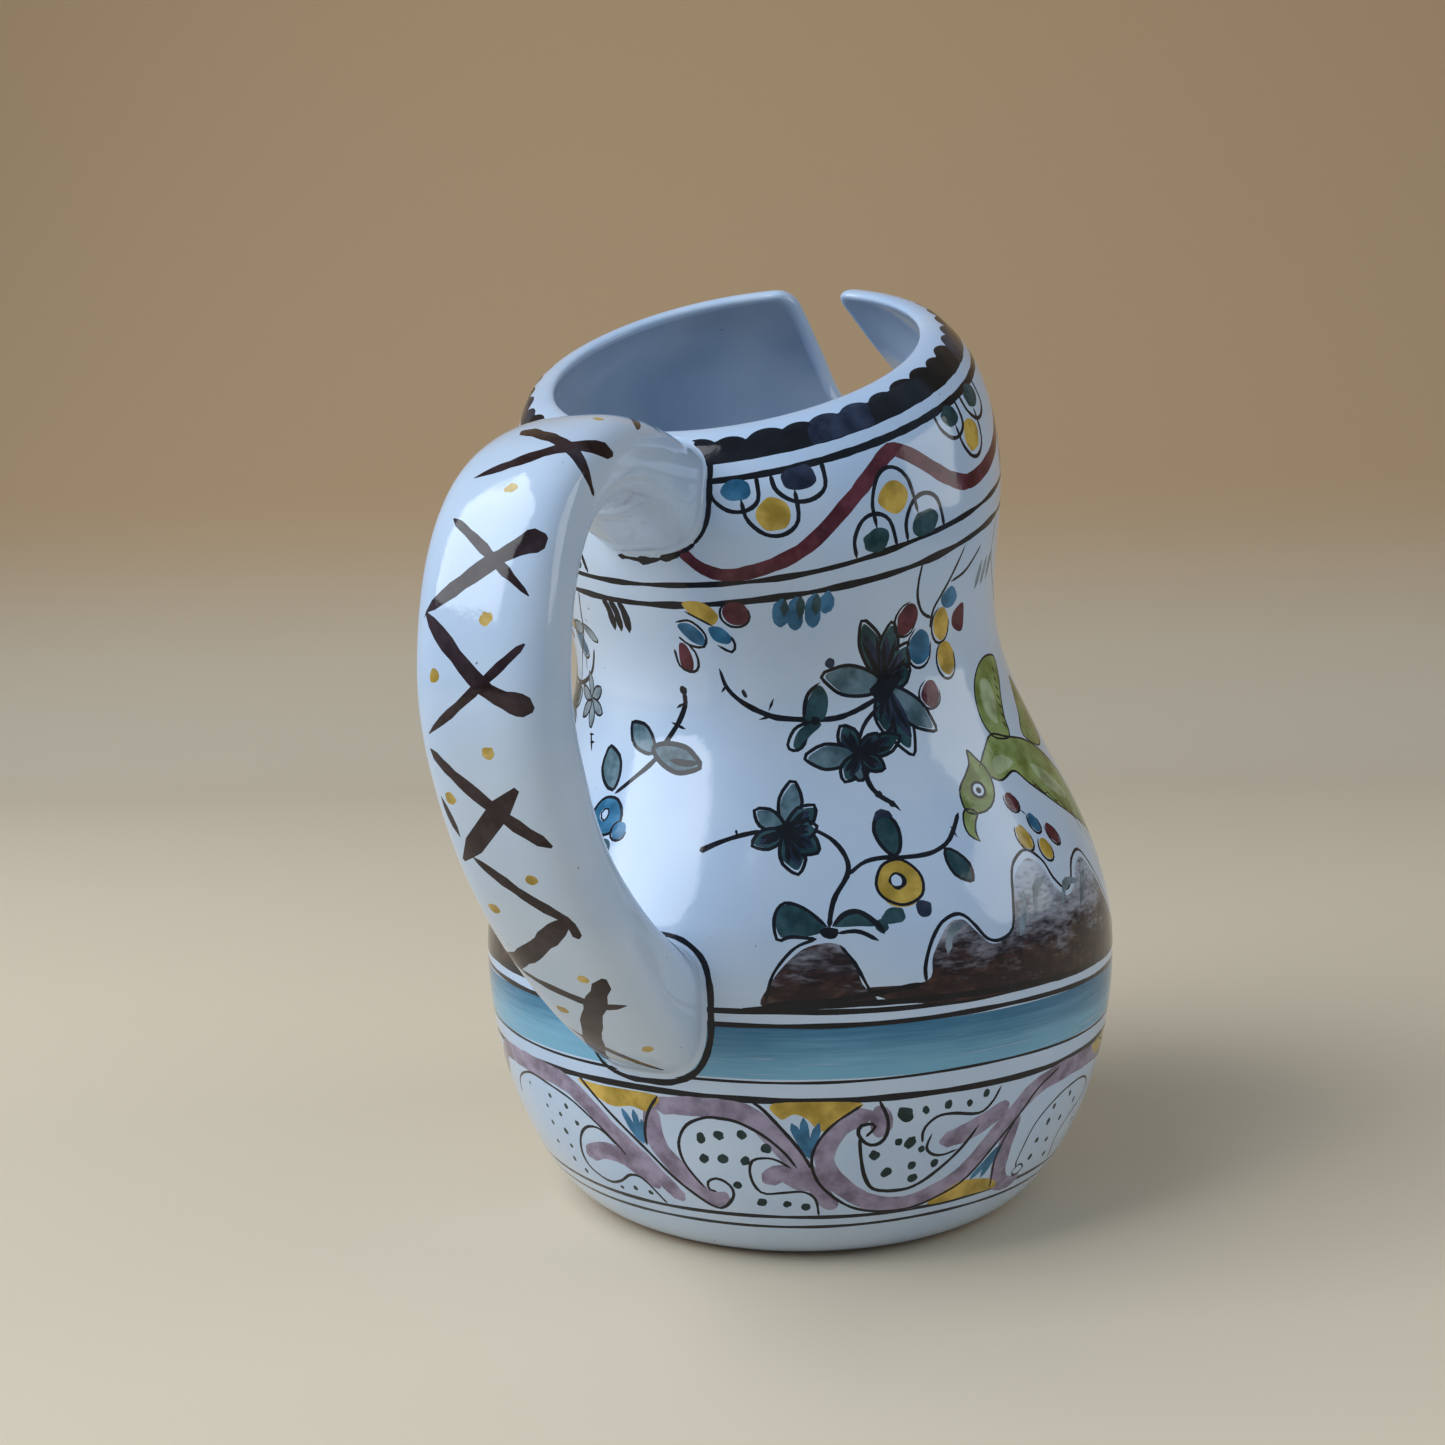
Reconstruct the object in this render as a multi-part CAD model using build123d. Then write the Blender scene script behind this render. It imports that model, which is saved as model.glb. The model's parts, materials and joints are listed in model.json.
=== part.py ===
from build123d import *
from math import cos, exp, pi, radians, sin, sqrt
import os

# Hand-thrown ceramic pitcher, in millimetres.
# The origin is the middle of the flat foot, +Z is up, the spout points to +Y and the handle to -Y.

# Overall sizes; the other sizes of the body are shares of these two
RIM_HEIGHT = 166.0         # height of the rim above the axis, half-way up its slope
BELLY_RADIUS = 62.0

# Body profile: outer radius and height of each ring that the potter would gauge
FOOT_RADIUS = BELLY_RADIUS * 41.5 / 62
BELLY_HEIGHT = RIM_HEIGHT * 48 / 166
HEEL_TAPER = BELLY_RADIUS * 10.5 / 62     # how far the wall draws in between belly and heel
NECK_RADIUS = BELLY_RADIUS * 41.4 / 62
NECK_HEIGHT = RIM_HEIGHT * 111 / 166
COLLAR_RADIUS = BELLY_RADIUS * 46 / 62
COLLAR_HEIGHT = RIM_HEIGHT * 144 / 166
RIM_RADIUS = BELLY_RADIUS * 39.5 / 62
SHOULDER_EASE = 1.08       # pulls the belly's fullness a little upwards
COLLAR_CURL = 3.2          # how late the collar turns in to the rim

# Wall
WALL = 5.0
FLOOR = 7.0
FLOOR_ROUND = 12.0         # inside radius where the wall meets the floor
LIP_ROUND = 1.2            # edge radius all round the rim and the notch

# Slope of the rim, and the way the collar leans as it was pulled by hand
LEVEL_HEIGHT = RIM_HEIGHT * 62 / 166      # rings are level and centred up to here
RIM_SLOPE = 0.495          # rise of the rim per millimetre towards the spout
SLOPE_EASE = 0.45          # how far the slope of the lower rings runs ahead of their height
RIM_TURN = 9.8             # degrees that the highest point lies to the left of the spout
LEAN_X = -8.1
LEAN_Y = -7.3
LEAN_POWER = 2.4

# Spout: a pulled beak below an open, pinched notch
BEAK_REACH = 19.0
BEAK_HEIGHT = RIM_HEIGHT * 137 / 166
BEAK_RISE = 14.0           # how quickly the beak fades above and below its tip
BEAK_SPREAD = 20.0         # degrees to each side
NOTCH_ANGLE = 10.0         # degrees to each side
NOTCH_FLOOR = RIM_HEIGHT * 132.5 / 166    # ring height of the lowest point of the notch
NOTCH_BELLY = COLLAR_HEIGHT               # ring height where the notch reaches its full width

# Handle: a rounded strap that swells into a pad at each end
HANDLE_REACH = BELLY_RADIUS + 38.8        # centre line at its furthest
HANDLE_WIDTH = 23.0
HANDLE_THICKNESS = 13.0
HANDLE_TOP = COLLAR_HEIGHT - 6.0
HANDLE_MIDDLE = RIM_HEIGHT * 105 / 166
HANDLE_FOOT = BELLY_HEIGHT + 2.0
HANDLE_SIDESTEP = -4.0     # the upper pad sits beside the centre line, as the collar does

# Rows of the strap, from inside each pad to the middle and on. Each is a share of: sidestep, way out from the wall
# to the full reach, way from the middle height to the pad's height, width and thickness
UPPER_ROWS = [(1.0, -0.222, 0.80, 1.043, 1.54), (1.0, 0.0, 0.88, 1.043, 1.46), (0.9, 0.25, 0.99, 1.043, 1.2),
              (0.6, 0.52, 0.99, 1.0, 1.08), (0.3, 0.78, 0.82, 1.0, 1.0), (0.1, 0.94, 0.48, 1.0, 1.0),
              (0.0, 1.0, 0.0, 1.0, 1.0)]
LOWER_ROWS = [(0.0, 0.93, 0.24, 1.0, 1.0), (0.0, 0.76, 0.50, 1.0, 1.0), (0.0, 0.47, 0.75, 1.04, 1.12),
              (0.0, 0.10, 0.97, 1.065, 1.48), (0.0, -0.257, 1.10, 1.065, 1.85)]

# Construction
RING_POINTS = 40
RING_STATIONS = [0, 1.5, 4, 9, 17, 28, 40, 54, 68, 82, 95, 106, 116, 124, 131, 137, 143, 149, 155, 161, 166]
CORNER_STATIONS = [0.0, 0.12, 0.4]        # shares of the floor round at which the hollow's rings lie
NOTCH_STATIONS = [0.15, 0.5, 1.0]         # shares of the notch's rounded depth
PAST = 3.0                                # how far a cutter runs past what it cuts


def body_radius(height):
    """Outer radius of the ring at this height on the axis, before the beak is pulled."""
    if height <= BELLY_HEIGHT:
        drop = (BELLY_HEIGHT - height) / BELLY_HEIGHT
        heel = BELLY_RADIUS - HEEL_TAPER - FOOT_RADIUS
        corner = 1 - sqrt(max(0.0, 1 - drop**4))
        return BELLY_RADIUS - HEEL_TAPER * (1 - cos(drop * pi / 2)) - heel * corner
    if height <= NECK_HEIGHT:
        climb = ((height - BELLY_HEIGHT) / (NECK_HEIGHT - BELLY_HEIGHT)) ** SHOULDER_EASE
        return NECK_RADIUS + (BELLY_RADIUS - NECK_RADIUS) * (1 + cos(pi * climb)) / 2
    if height <= COLLAR_HEIGHT:
        climb = (height - NECK_HEIGHT) / (COLLAR_HEIGHT - NECK_HEIGHT)
        return NECK_RADIUS + (COLLAR_RADIUS - NECK_RADIUS) * (1 - cos(pi * climb)) / 2
    climb = (height - COLLAR_HEIGHT) / (RIM_HEIGHT - COLLAR_HEIGHT)
    return COLLAR_RADIUS - (COLLAR_RADIUS - RIM_RADIUS) * climb**COLLAR_CURL


def beak(angle, height):
    """How far the spout is pulled out, at an angle in degrees from the spout's direction."""
    across = angle / BEAK_SPREAD
    along = (height - BEAK_HEIGHT) / BEAK_RISE
    return BEAK_REACH * exp(-(across**2) - along**2)


def inner_radius(height):
    """Radius of the hollow, with its floor rounded into the wall."""
    radius = body_radius(height) - WALL
    rise = height - FLOOR
    if rise < FLOOR_ROUND:
        radius -= FLOOR_ROUND - sqrt(max(0.0, FLOOR_ROUND**2 - (FLOOR_ROUND - rise) ** 2))
    return radius


def ring_point(angle, height, radius):
    """Point on a ring; angle in degrees from the spout, clockwise seen from above."""
    climb = max(0.0, (height - LEVEL_HEIGHT) / (RIM_HEIGHT - LEVEL_HEIGHT))
    lean = climb**LEAN_POWER
    reach = radius + beak(angle, height)
    x = LEAN_X * lean + reach * sin(radians(angle))
    y = LEAN_Y * lean + reach * cos(radians(angle))
    slope = RIM_SLOPE * climb * (1 + SLOPE_EASE * (1 - climb))
    turn = radians(RIM_TURN)
    return (x, y, height + slope * (y * cos(turn) - x * sin(turn)))


def ring_wire(height, radius):
    step = 360 / RING_POINTS
    points = [ring_point(-180 + step * i, height, radius) for i in range(RING_POINTS)]
    return Wire([Edge.make_spline([Vector(*p) for p in points], periodic=True)])


def loft_rings(rings):
    return Solid.make_loft([ring_wire(height, radius) for height, radius in rings])


def ring_heights():
    """The ring stations, kept in step with the rim when its height is changed."""
    return [station * RIM_HEIGHT / RING_STATIONS[-1] for station in RING_STATIONS]


def make_outer():
    return loft_rings([(height, body_radius(height)) for height in ring_heights()])


def make_hollow():
    heights = [FLOOR + FLOOR_ROUND * share for share in CORNER_STATIONS]
    heights += [height for height in ring_heights() if height > FLOOR + FLOOR_ROUND * 2 / 3]
    heights.append(RIM_HEIGHT + PAST)
    return loft_rings([(height, inner_radius(height)) for height in heights])


def notch_half_angle(height):
    """Half of the notch's opening, in degrees: a straight slot with a round floor."""
    depth = max(0.0, (NOTCH_BELLY - height) / (NOTCH_BELLY - NOTCH_FLOOR))
    return NOTCH_ANGLE * sqrt(max(0.0, 1 - depth**2))


def notch_edge(side):
    """One side of the notch as it is seen from the front, from near its floor to above the rim."""
    heights = [NOTCH_FLOOR + (NOTCH_BELLY - NOTCH_FLOOR) * share for share in NOTCH_STATIONS]
    heights += [(NOTCH_BELLY + RIM_HEIGHT) / 2, RIM_HEIGHT + PAST]
    points = [ring_point(side * notch_half_angle(height), height, body_radius(height)) for height in heights]
    return [(x, z) for x, _, z in points]


def make_notch_cutter():
    """Prism along +Y with the notch's outline, from well inside the neck to outside the beak."""
    left, right = notch_edge(-1), notch_edge(1)
    x, _, z = ring_point(0, NOTCH_FLOOR, body_radius(NOTCH_FLOOR))
    sky = right[-1][1] + RIM_HEIGHT
    with BuildSketch(Plane.XZ.offset(-RIM_RADIUS / 3)) as outline:
        with BuildLine():
            Spline(*reversed(left), (x, z), *right)
            Polyline(right[-1], (right[-1][0], sky), (left[-1][0], sky), left[-1])
        make_face()
    return extrude(outline.sketch, amount=-2 * BELLY_RADIUS)


def make_body(outer):
    body = (outer - make_hollow() - make_notch_cutter()).solid()
    lip = []
    for face in body.faces():
        notch = face.geom_type == GeomType.EXTRUSION
        rim = face.geom_type == GeomType.PLANE and face.center().Z > NECK_HEIGHT
        if notch or rim:
            lip += [edge for edge in face.edges() if not any(edge.is_same(seen) for seen in lip)]
    return body.fillet(LIP_ROUND, lip)


def handle_sections():
    """Rows of (centre, width, thickness) from inside the upper pad to inside the lower one."""
    upper = -ring_point(180, COLLAR_HEIGHT, body_radius(COLLAR_HEIGHT))[1]
    lower = body_radius(HANDLE_FOOT)
    sections = []
    for wall, pad_height, rows in ((upper, HANDLE_TOP, UPPER_ROWS), (lower, HANDLE_FOOT, LOWER_ROWS)):
        for side, out, way, width, thickness in rows:
            height = HANDLE_MIDDLE + (pad_height - HANDLE_MIDDLE) * way
            centre = Vector(HANDLE_SIDESTEP * side, -(wall + (HANDLE_REACH - wall) * out), height)
            sections.append((centre, HANDLE_WIDTH * width, HANDLE_THICKNESS * thickness))
    return sections


def make_handle(outer):
    """The strap is lofted right through the wall, and trimmed to meet it face to face."""
    rows = handle_sections()
    path = Spline(*[centre for centre, _, _ in rows])
    faces = []
    for centre, width, thickness in rows:
        along = path.tangent_at(path.param_at_point(centre))
        plane = Plane(origin=centre, x_dir=Vector(1, 0, 0), z_dir=along)
        faces.append((plane * Ellipse(width / 2, thickness / 2)).face())
    trimmed = loft(faces) - outer
    return max(trimmed.solids(), key=lambda solid: solid.volume)


def main():
    os.makedirs("parts", exist_ok=True)
    outer = make_outer()
    body = make_body(outer)
    handle = make_handle(outer)
    for name, shape in (("pitcher_body", body), ("handle", handle)):
        shape.label = name
        export_step(shape, f"parts/{name}.step")
        print(name, round(shape.volume), shape.bounding_box())


main()
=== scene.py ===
"""Hand-painted ceramic pitcher: thrown body, pulled handle and their painted decoration."""
import bpy
import json
import random
from math import atan2, ceil, cos, degrees, exp, hypot, pi, radians, sin, sqrt
from bpy.props import FloatProperty, FloatVectorProperty, PointerProperty
from mathutils import Matrix, Vector
from mathutils.geometry import delaunay_2d_cdt
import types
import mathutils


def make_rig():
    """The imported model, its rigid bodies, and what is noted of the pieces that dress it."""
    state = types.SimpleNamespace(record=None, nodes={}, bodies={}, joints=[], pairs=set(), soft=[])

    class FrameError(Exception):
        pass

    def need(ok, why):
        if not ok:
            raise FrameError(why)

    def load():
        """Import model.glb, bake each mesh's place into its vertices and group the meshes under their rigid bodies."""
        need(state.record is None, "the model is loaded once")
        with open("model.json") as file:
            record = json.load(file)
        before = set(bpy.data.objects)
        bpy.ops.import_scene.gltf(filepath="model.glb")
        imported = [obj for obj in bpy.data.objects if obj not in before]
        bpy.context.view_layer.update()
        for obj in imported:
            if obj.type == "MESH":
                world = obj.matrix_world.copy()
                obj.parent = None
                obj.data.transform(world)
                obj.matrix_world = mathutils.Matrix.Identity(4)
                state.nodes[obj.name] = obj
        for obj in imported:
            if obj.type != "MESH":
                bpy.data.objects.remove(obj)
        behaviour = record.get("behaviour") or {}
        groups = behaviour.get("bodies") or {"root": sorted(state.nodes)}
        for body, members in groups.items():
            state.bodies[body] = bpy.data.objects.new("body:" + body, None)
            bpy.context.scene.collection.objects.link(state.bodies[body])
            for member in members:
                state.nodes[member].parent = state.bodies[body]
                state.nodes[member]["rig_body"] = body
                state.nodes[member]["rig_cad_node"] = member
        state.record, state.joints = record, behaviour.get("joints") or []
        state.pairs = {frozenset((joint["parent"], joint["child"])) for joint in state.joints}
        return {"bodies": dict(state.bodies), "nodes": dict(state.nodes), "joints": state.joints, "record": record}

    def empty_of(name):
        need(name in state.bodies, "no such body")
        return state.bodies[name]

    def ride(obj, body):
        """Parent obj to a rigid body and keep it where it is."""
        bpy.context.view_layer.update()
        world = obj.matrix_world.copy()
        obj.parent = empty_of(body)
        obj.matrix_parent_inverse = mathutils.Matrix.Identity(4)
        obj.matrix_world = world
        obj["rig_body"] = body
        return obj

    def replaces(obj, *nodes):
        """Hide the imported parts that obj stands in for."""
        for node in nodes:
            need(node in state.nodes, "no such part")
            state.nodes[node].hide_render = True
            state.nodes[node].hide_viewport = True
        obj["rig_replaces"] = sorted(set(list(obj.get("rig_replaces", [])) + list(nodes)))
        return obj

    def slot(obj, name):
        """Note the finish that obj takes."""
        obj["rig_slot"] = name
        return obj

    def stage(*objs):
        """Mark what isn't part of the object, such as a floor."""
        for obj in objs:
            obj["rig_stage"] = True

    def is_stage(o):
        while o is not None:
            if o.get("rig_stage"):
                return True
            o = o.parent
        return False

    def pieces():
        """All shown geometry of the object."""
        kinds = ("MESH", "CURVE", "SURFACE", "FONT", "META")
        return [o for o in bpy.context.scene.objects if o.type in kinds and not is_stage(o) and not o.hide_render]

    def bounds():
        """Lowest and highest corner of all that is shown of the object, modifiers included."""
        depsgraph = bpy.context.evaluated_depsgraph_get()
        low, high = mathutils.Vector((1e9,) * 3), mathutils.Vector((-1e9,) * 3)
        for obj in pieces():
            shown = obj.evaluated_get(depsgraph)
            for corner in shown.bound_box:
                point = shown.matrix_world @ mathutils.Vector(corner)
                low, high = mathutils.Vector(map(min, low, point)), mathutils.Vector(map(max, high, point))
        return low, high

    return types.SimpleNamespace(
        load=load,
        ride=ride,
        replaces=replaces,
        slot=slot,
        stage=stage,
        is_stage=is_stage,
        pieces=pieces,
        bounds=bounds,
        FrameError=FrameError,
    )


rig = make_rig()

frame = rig.load()
CAD_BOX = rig.bounds()

bl_info = {
    "name": "Painted Pitcher",
    "version": (1, 0, 0),
    "blender": (4, 5, 0),
    "location": "3D View > Sidebar > Pitcher",
    "description": "Makes a hand-painted ceramic pitcher, its glaze and its stage",
    "category": "Add Mesh",
}

# Everything below is in millimetres and degrees until a mesh is made.
# The spout points to +Y and the handle to -Y. Angles run from the spout towards +X.
MM = 0.001
SEAM = -100.0              # the drawing is cut open here, on the side away from the main view

BELLY_RADIUS, BELLY_HEIGHT, FOOT_RADIUS, HEEL_TAPER = 62.0, 48.0, 41.5, 10.5
NECK_RADIUS, NECK_HEIGHT = 41.4, 111.0
COLLAR_RADIUS, COLLAR_HEIGHT, COLLAR_CURL = 46.0, 144.0, 3.2
RIM_RADIUS, RIM_HEIGHT, SHOULDER_EASE = 39.5, 166.0, 1.08
WALL, FLOOR, FLOOR_ROUND = 5.0, 7.0, 12.0
LEVEL_HEIGHT, RIM_SLOPE, SLOPE_EASE, RIM_TURN = 62.0, 0.495, 0.45, 9.8
LEAN_X, LEAN_Y, LEAN_POWER = -8.1, -7.3, 2.4
BEAK_REACH, BEAK_HEIGHT, BEAK_RISE, BEAK_SPREAD = 19.0, 137.0, 14.0, 20.0
LIP_PUFF = 0.8             # roundness of the lip: 1 is a full half round
NOTCH_HALF, NOTCH_FLOOR, NOTCH_BELLY = 10.9, 130.8, 144.0     # where the notch's lip starts
LIP_START = 164.5
TIP_ROUND = (3.0, 2.8)     # rounding of the spout's two tips, in degrees and in height

HANDLE_REACH, HANDLE_WIDTH, HANDLE_THICKNESS = 100.8, 23.0, 13.0
HANDLE_TOP, HANDLE_MIDDLE, HANDLE_FOOT, HANDLE_SIDESTEP = 138.0, 105.0, 50.0, -4.0
# sidestep, way out, way from the middle height to the pad, width and thickness, as shares;
# the pads are a little narrower than the CAD's
UPPER_ROWS = [(1.0, -0.222, 0.80, 0.90, 1.54), (1.0, 0.0, 0.88, 0.92, 1.46), (0.9, 0.25, 0.99, 0.97, 1.2),
              (0.6, 0.52, 0.99, 1.0, 1.08), (0.3, 0.78, 0.82, 1.0, 1.0), (0.1, 0.94, 0.48, 1.0, 1.0),
              (0.0, 1.0, 0.0, 1.0, 1.0)]
LOWER_ROWS = [(0.0, 0.93, 0.24, 1.0, 1.0), (0.0, 0.76, 0.50, 1.0, 1.0), (0.0, 0.47, 0.75, 1.04, 1.12),
              (0.0, 0.10, 0.97, 0.99, 1.46), (0.0, -0.257, 1.10, 0.97, 1.80)]


# ---------------------------------------------------------------- shape of the clay

def ring_radius(h):
    """Outer radius of the ring at this height on the axis."""
    if h <= BELLY_HEIGHT:
        drop = (BELLY_HEIGHT - h) / BELLY_HEIGHT
        heel = BELLY_RADIUS - HEEL_TAPER - FOOT_RADIUS
        corner = 1 - sqrt(max(0.0, 1 - drop**4))
        return BELLY_RADIUS - HEEL_TAPER * (1 - cos(drop * pi / 2)) - heel * corner
    if h <= NECK_HEIGHT:
        climb = ((h - BELLY_HEIGHT) / (NECK_HEIGHT - BELLY_HEIGHT)) ** SHOULDER_EASE
        return NECK_RADIUS + (BELLY_RADIUS - NECK_RADIUS) * (1 + cos(pi * climb)) / 2
    if h <= COLLAR_HEIGHT:
        climb = (h - NECK_HEIGHT) / (COLLAR_HEIGHT - NECK_HEIGHT)
        return NECK_RADIUS + (COLLAR_RADIUS - NECK_RADIUS) * (1 - cos(pi * climb)) / 2
    climb = (h - COLLAR_HEIGHT) / (RIM_HEIGHT - COLLAR_HEIGHT)
    return COLLAR_RADIUS - (COLLAR_RADIUS - RIM_RADIUS) * climb**COLLAR_CURL


def hollow_radius(h):
    """Inner radius, with the floor rounded into the wall."""
    radius = ring_radius(h) - WALL
    rise = h - FLOOR
    if rise < FLOOR_ROUND:
        radius -= FLOOR_ROUND - sqrt(max(0.0, FLOOR_ROUND**2 - (FLOOR_ROUND - rise) ** 2))
    return radius


def ring_lean(h):
    """Sideways lean and slope of the ring at this height."""
    climb = max(0.0, (h - LEVEL_HEIGHT) / (RIM_HEIGHT - LEVEL_HEIGHT))
    lean = climb**LEAN_POWER
    return LEAN_X * lean, LEAN_Y * lean, RIM_SLOPE * climb * (1 + SLOPE_EASE * (1 - climb))


TURN_COS, TURN_SIN = cos(radians(RIM_TURN)), sin(radians(RIM_TURN))


def ring_point(angle, h, radius):
    side = (angle + 180) % 360 - 180
    reach = radius + BEAK_REACH * exp(-((side / BEAK_SPREAD) ** 2) - ((h - BEAK_HEIGHT) / BEAK_RISE) ** 2)
    lean_x, lean_y, slope = ring_lean(h)
    x = lean_x + reach * sin(radians(angle))
    y = lean_y + reach * cos(radians(angle))
    return Vector((x, y, h + slope * (y * TURN_COS - x * TURN_SIN)))


def outside(angle, h):
    return ring_point(angle, h, ring_radius(h))


def inside(angle, h):
    return ring_point(angle, h, hollow_radius(h))


def on_wall(point):
    """Angle, height and distance outside the wall of a point near the back of the body."""
    h = point.z
    for _ in range(30):
        lean_x, lean_y, slope = ring_lean(h)
        h = point.z - slope * (point.y * TURN_COS - point.x * TURN_SIN)
    lean_x, lean_y, slope = ring_lean(h)
    x, y = point.x - lean_x, point.y - lean_y
    return degrees(atan2(x, y)), h, hypot(x, y) - ring_radius(h)


def normal_of(surface, a, b, step=0.05):
    """Outward normal of a surface(a, b), from short steps on it."""
    across = surface(a + step, b) - surface(a - step, b)
    along = surface(a, b + step) - surface(a, b - step)
    return along.cross(across).normalized()


def edge_curve():
    """Where the lip starts, all round the rim and down into the notch, as (angle, height)."""
    points = []
    reach_a, reach_h = TIP_ROUND
    for step in range(15):                                   # half of the notch, from its floor up
        turn = pi / 2 * step / 14
        points.append((NOTCH_HALF * sin(turn), NOTCH_BELLY - (NOTCH_BELLY - NOTCH_FLOOR) * cos(turn)))
    top = LIP_START - reach_h
    for step in range(1, 12):
        points.append((NOTCH_HALF, NOTCH_BELLY + (top - NOTCH_BELLY) * step / 12))
    for step in range(11):                                   # rounded tip
        turn = pi / 2 * step / 10
        points.append((NOTCH_HALF + reach_a * (1 - cos(turn)), top + reach_h * sin(turn)))
    first = NOTCH_HALF + reach_a
    count = 440
    rim = [(first + (360 - 2 * first) * step / count, LIP_START) for step in range(1, count)]
    left = [(360 - a, h) for a, h in reversed(points)]
    return points + rim + left[:-1]


def spread(points, step):
    """The polyline with extra points, so that none of its legs is longer than step."""
    out = []
    for (a, h), (b, g) in zip(points, points[1:]):
        pieces = max(1, ceil(hypot(b - a, g - h) / step))
        out += [(a + (b - a) * i / pieces, h + (g - h) * i / pieces) for i in range(pieces)]
    return out + [points[-1]]


class Clay:
    """Collects welded corners with their normals, and faces with their paint."""

    def __init__(self):
        self.corners, self.normals, self.faces, self.paints, self.seen = [], [], [], [], {}

    def corner(self, point, normal):
        key = (round(point.x, 3), round(point.y, 3), round(point.z, 3))
        if key not in self.seen:
            self.seen[key] = len(self.corners)
            self.corners.append(point * MM)
            self.normals.append(normal)
        return self.seen[key]

    def face(self, corners, paint):
        corners = [c for i, c in enumerate(corners) if c != corners[i - 1]]
        if len(set(corners)) > 2:
            self.faces.append(corners)
            self.paints.append(paint)

    def grid(self, rows, paint, closed=True, flip=False):
        """Faces between rows of corners."""
        for low, high in zip(rows, rows[1:]):
            for i in range(len(low) - (0 if closed else 1)):
                j = (i + 1) % len(low)
                face = [low[i], low[j], high[j], high[i]]
                self.face(face[::-1] if flip else face, paint)


# ---------------------------------------------------------------- brush strokes

class Sheet:
    """A painted skin that is laid out flat, and every stroke on it, first to last."""

    def __init__(self, surface, wrap=None, seed=7):
        self.surface, self.wrap, self.patches = surface, wrap, []
        self.chance = random.Random(seed)

    def scale(self, a, b):
        """Millimetres for each unit along both directions of the sheet."""
        across = (self.surface(a + 0.5, b) - self.surface(a - 0.5, b)).length
        along = (self.surface(a, b + 0.5) - self.surface(a, b - 0.5)).length
        return max(across, 0.05), max(along, 0.05)

    def fill(self, paint, outline):
        """A flat patch of paint inside a closed outline."""
        self.patch(paint, outline)

    def patch(self, paint, corners):
        turns = [0.0]
        if self.wrap is not None:
            if min(a for a, _ in corners) < self.wrap:
                turns.append(360.0)
            if max(a for a, _ in corners) > self.wrap + 360:
                turns.append(-360.0)
        for turn in turns:
            moved = [(a + turn, b) for a, b in corners]
            area = sum(p[0] * q[1] - q[0] * p[1] for p, q in zip(moved, moved[1:] + moved[:1]))
            if abs(area) > 1e-4:
                self.patches.append((paint, moved if area > 0 else moved[::-1]))

    def line(self, paint, points, width, ends=(1.0, 1.0), shake=0.12, closed=False, steps=7):
        """One pull of the brush through a few points. Ends are the widths at the tips, as shares."""
        path = self.thin_out(curve(points, closed, steps), 0.9 if width > 1.2 else 0.75)
        scales = [self.scale(a, b) for a, b in path]
        lengths = [0.0]
        for (a, b), (c, d), (sa, sb) in zip(path, path[1:], scales):
            lengths.append(lengths[-1] + hypot((c - a) * sa, (d - b) * sb))
        total = max(lengths[-1], 0.01)
        phase, pace = self.chance.uniform(0, 6), self.chance.uniform(0.7, 1.3)
        rails = []
        for i, (a, b) in enumerate(path):
            sa, sb = scales[i]
            before = path[i - 1] if i or closed else path[0]
            after = path[(i + 1) % len(path)] if i + 1 < len(path) or closed else path[-1]
            if closed and i == len(path) - 1:
                after = path[1]
            if closed and i == 0:
                before = path[-2]
            across, along = (after[0] - before[0]) * sa, (after[1] - before[1]) * sb
            size = hypot(across, along) or 1.0
            share = lengths[i] / total
            half = width / 2 * (ends[0] + (1 - ends[0]) * min(1.0, share * 3.5))
            half *= 1 if closed else (ends[1] + (1 - ends[1]) * min(1.0, (1 - share) * 3.5))
            wobble = sin(lengths[i] * pace + phase) + 0.6 * sin(lengths[i] * pace * 2.3 + phase * 2)
            half *= 1 + (0 if closed else shake * wobble / 1.6)
            if not closed:
                tip = min(lengths[i], total - lengths[i])
                rounding = min(half, total / 2)
                if tip < rounding:
                    half *= sqrt(max(0.05, 1 - (1 - tip / rounding) ** 2))
            rails.append(((a - along / size * half / sa, b + across / size * half / sb),
                          (a + along / size * half / sa, b - across / size * half / sb)))
        for (l0, r0), (l1, r1) in zip(rails, rails[1:]):
            self.quad(paint, l0, r0, r1, l1)

    def quad(self, paint, *corners):
        """One step of a stroke; where a tight bend folds it, it is two triangles."""
        turns = []
        for i in range(4):
            (a, b), (c, d), (e, f) = corners[i - 2], corners[i - 1], corners[i]
            turns.append((c - a) * (f - d) - (d - b) * (e - c) > 0)
        if len(set(turns)) == 1:
            self.patch(paint, list(corners))
        else:
            self.patch(paint, [corners[0], corners[1], corners[2]])
            self.patch(paint, [corners[0], corners[2], corners[3]])

    def thin_out(self, path, least):
        """Drops points of a path that lie closer together than some millimetres."""
        kept = [path[0]]
        sa, sb = self.scale(*path[0])
        for a, b in path[1:-1]:
            if hypot((a - kept[-1][0]) * sa, (b - kept[-1][1]) * sb) > least:
                kept.append((a, b))
                sa, sb = self.scale(a, b)
        return kept + [path[-1]]

    def blob(self, paint, points, steps=5):
        """A filled shape with a soft outline through a few points."""
        self.fill(paint, curve(points, True, steps)[:-1])

    def place(self, a, b, right, up):
        """The point that lies some millimetres to the right and up of (a, b), as seen from outside."""
        sa, sb = self.scale(a, b)
        return a - right / sa, b + up / sb

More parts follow.
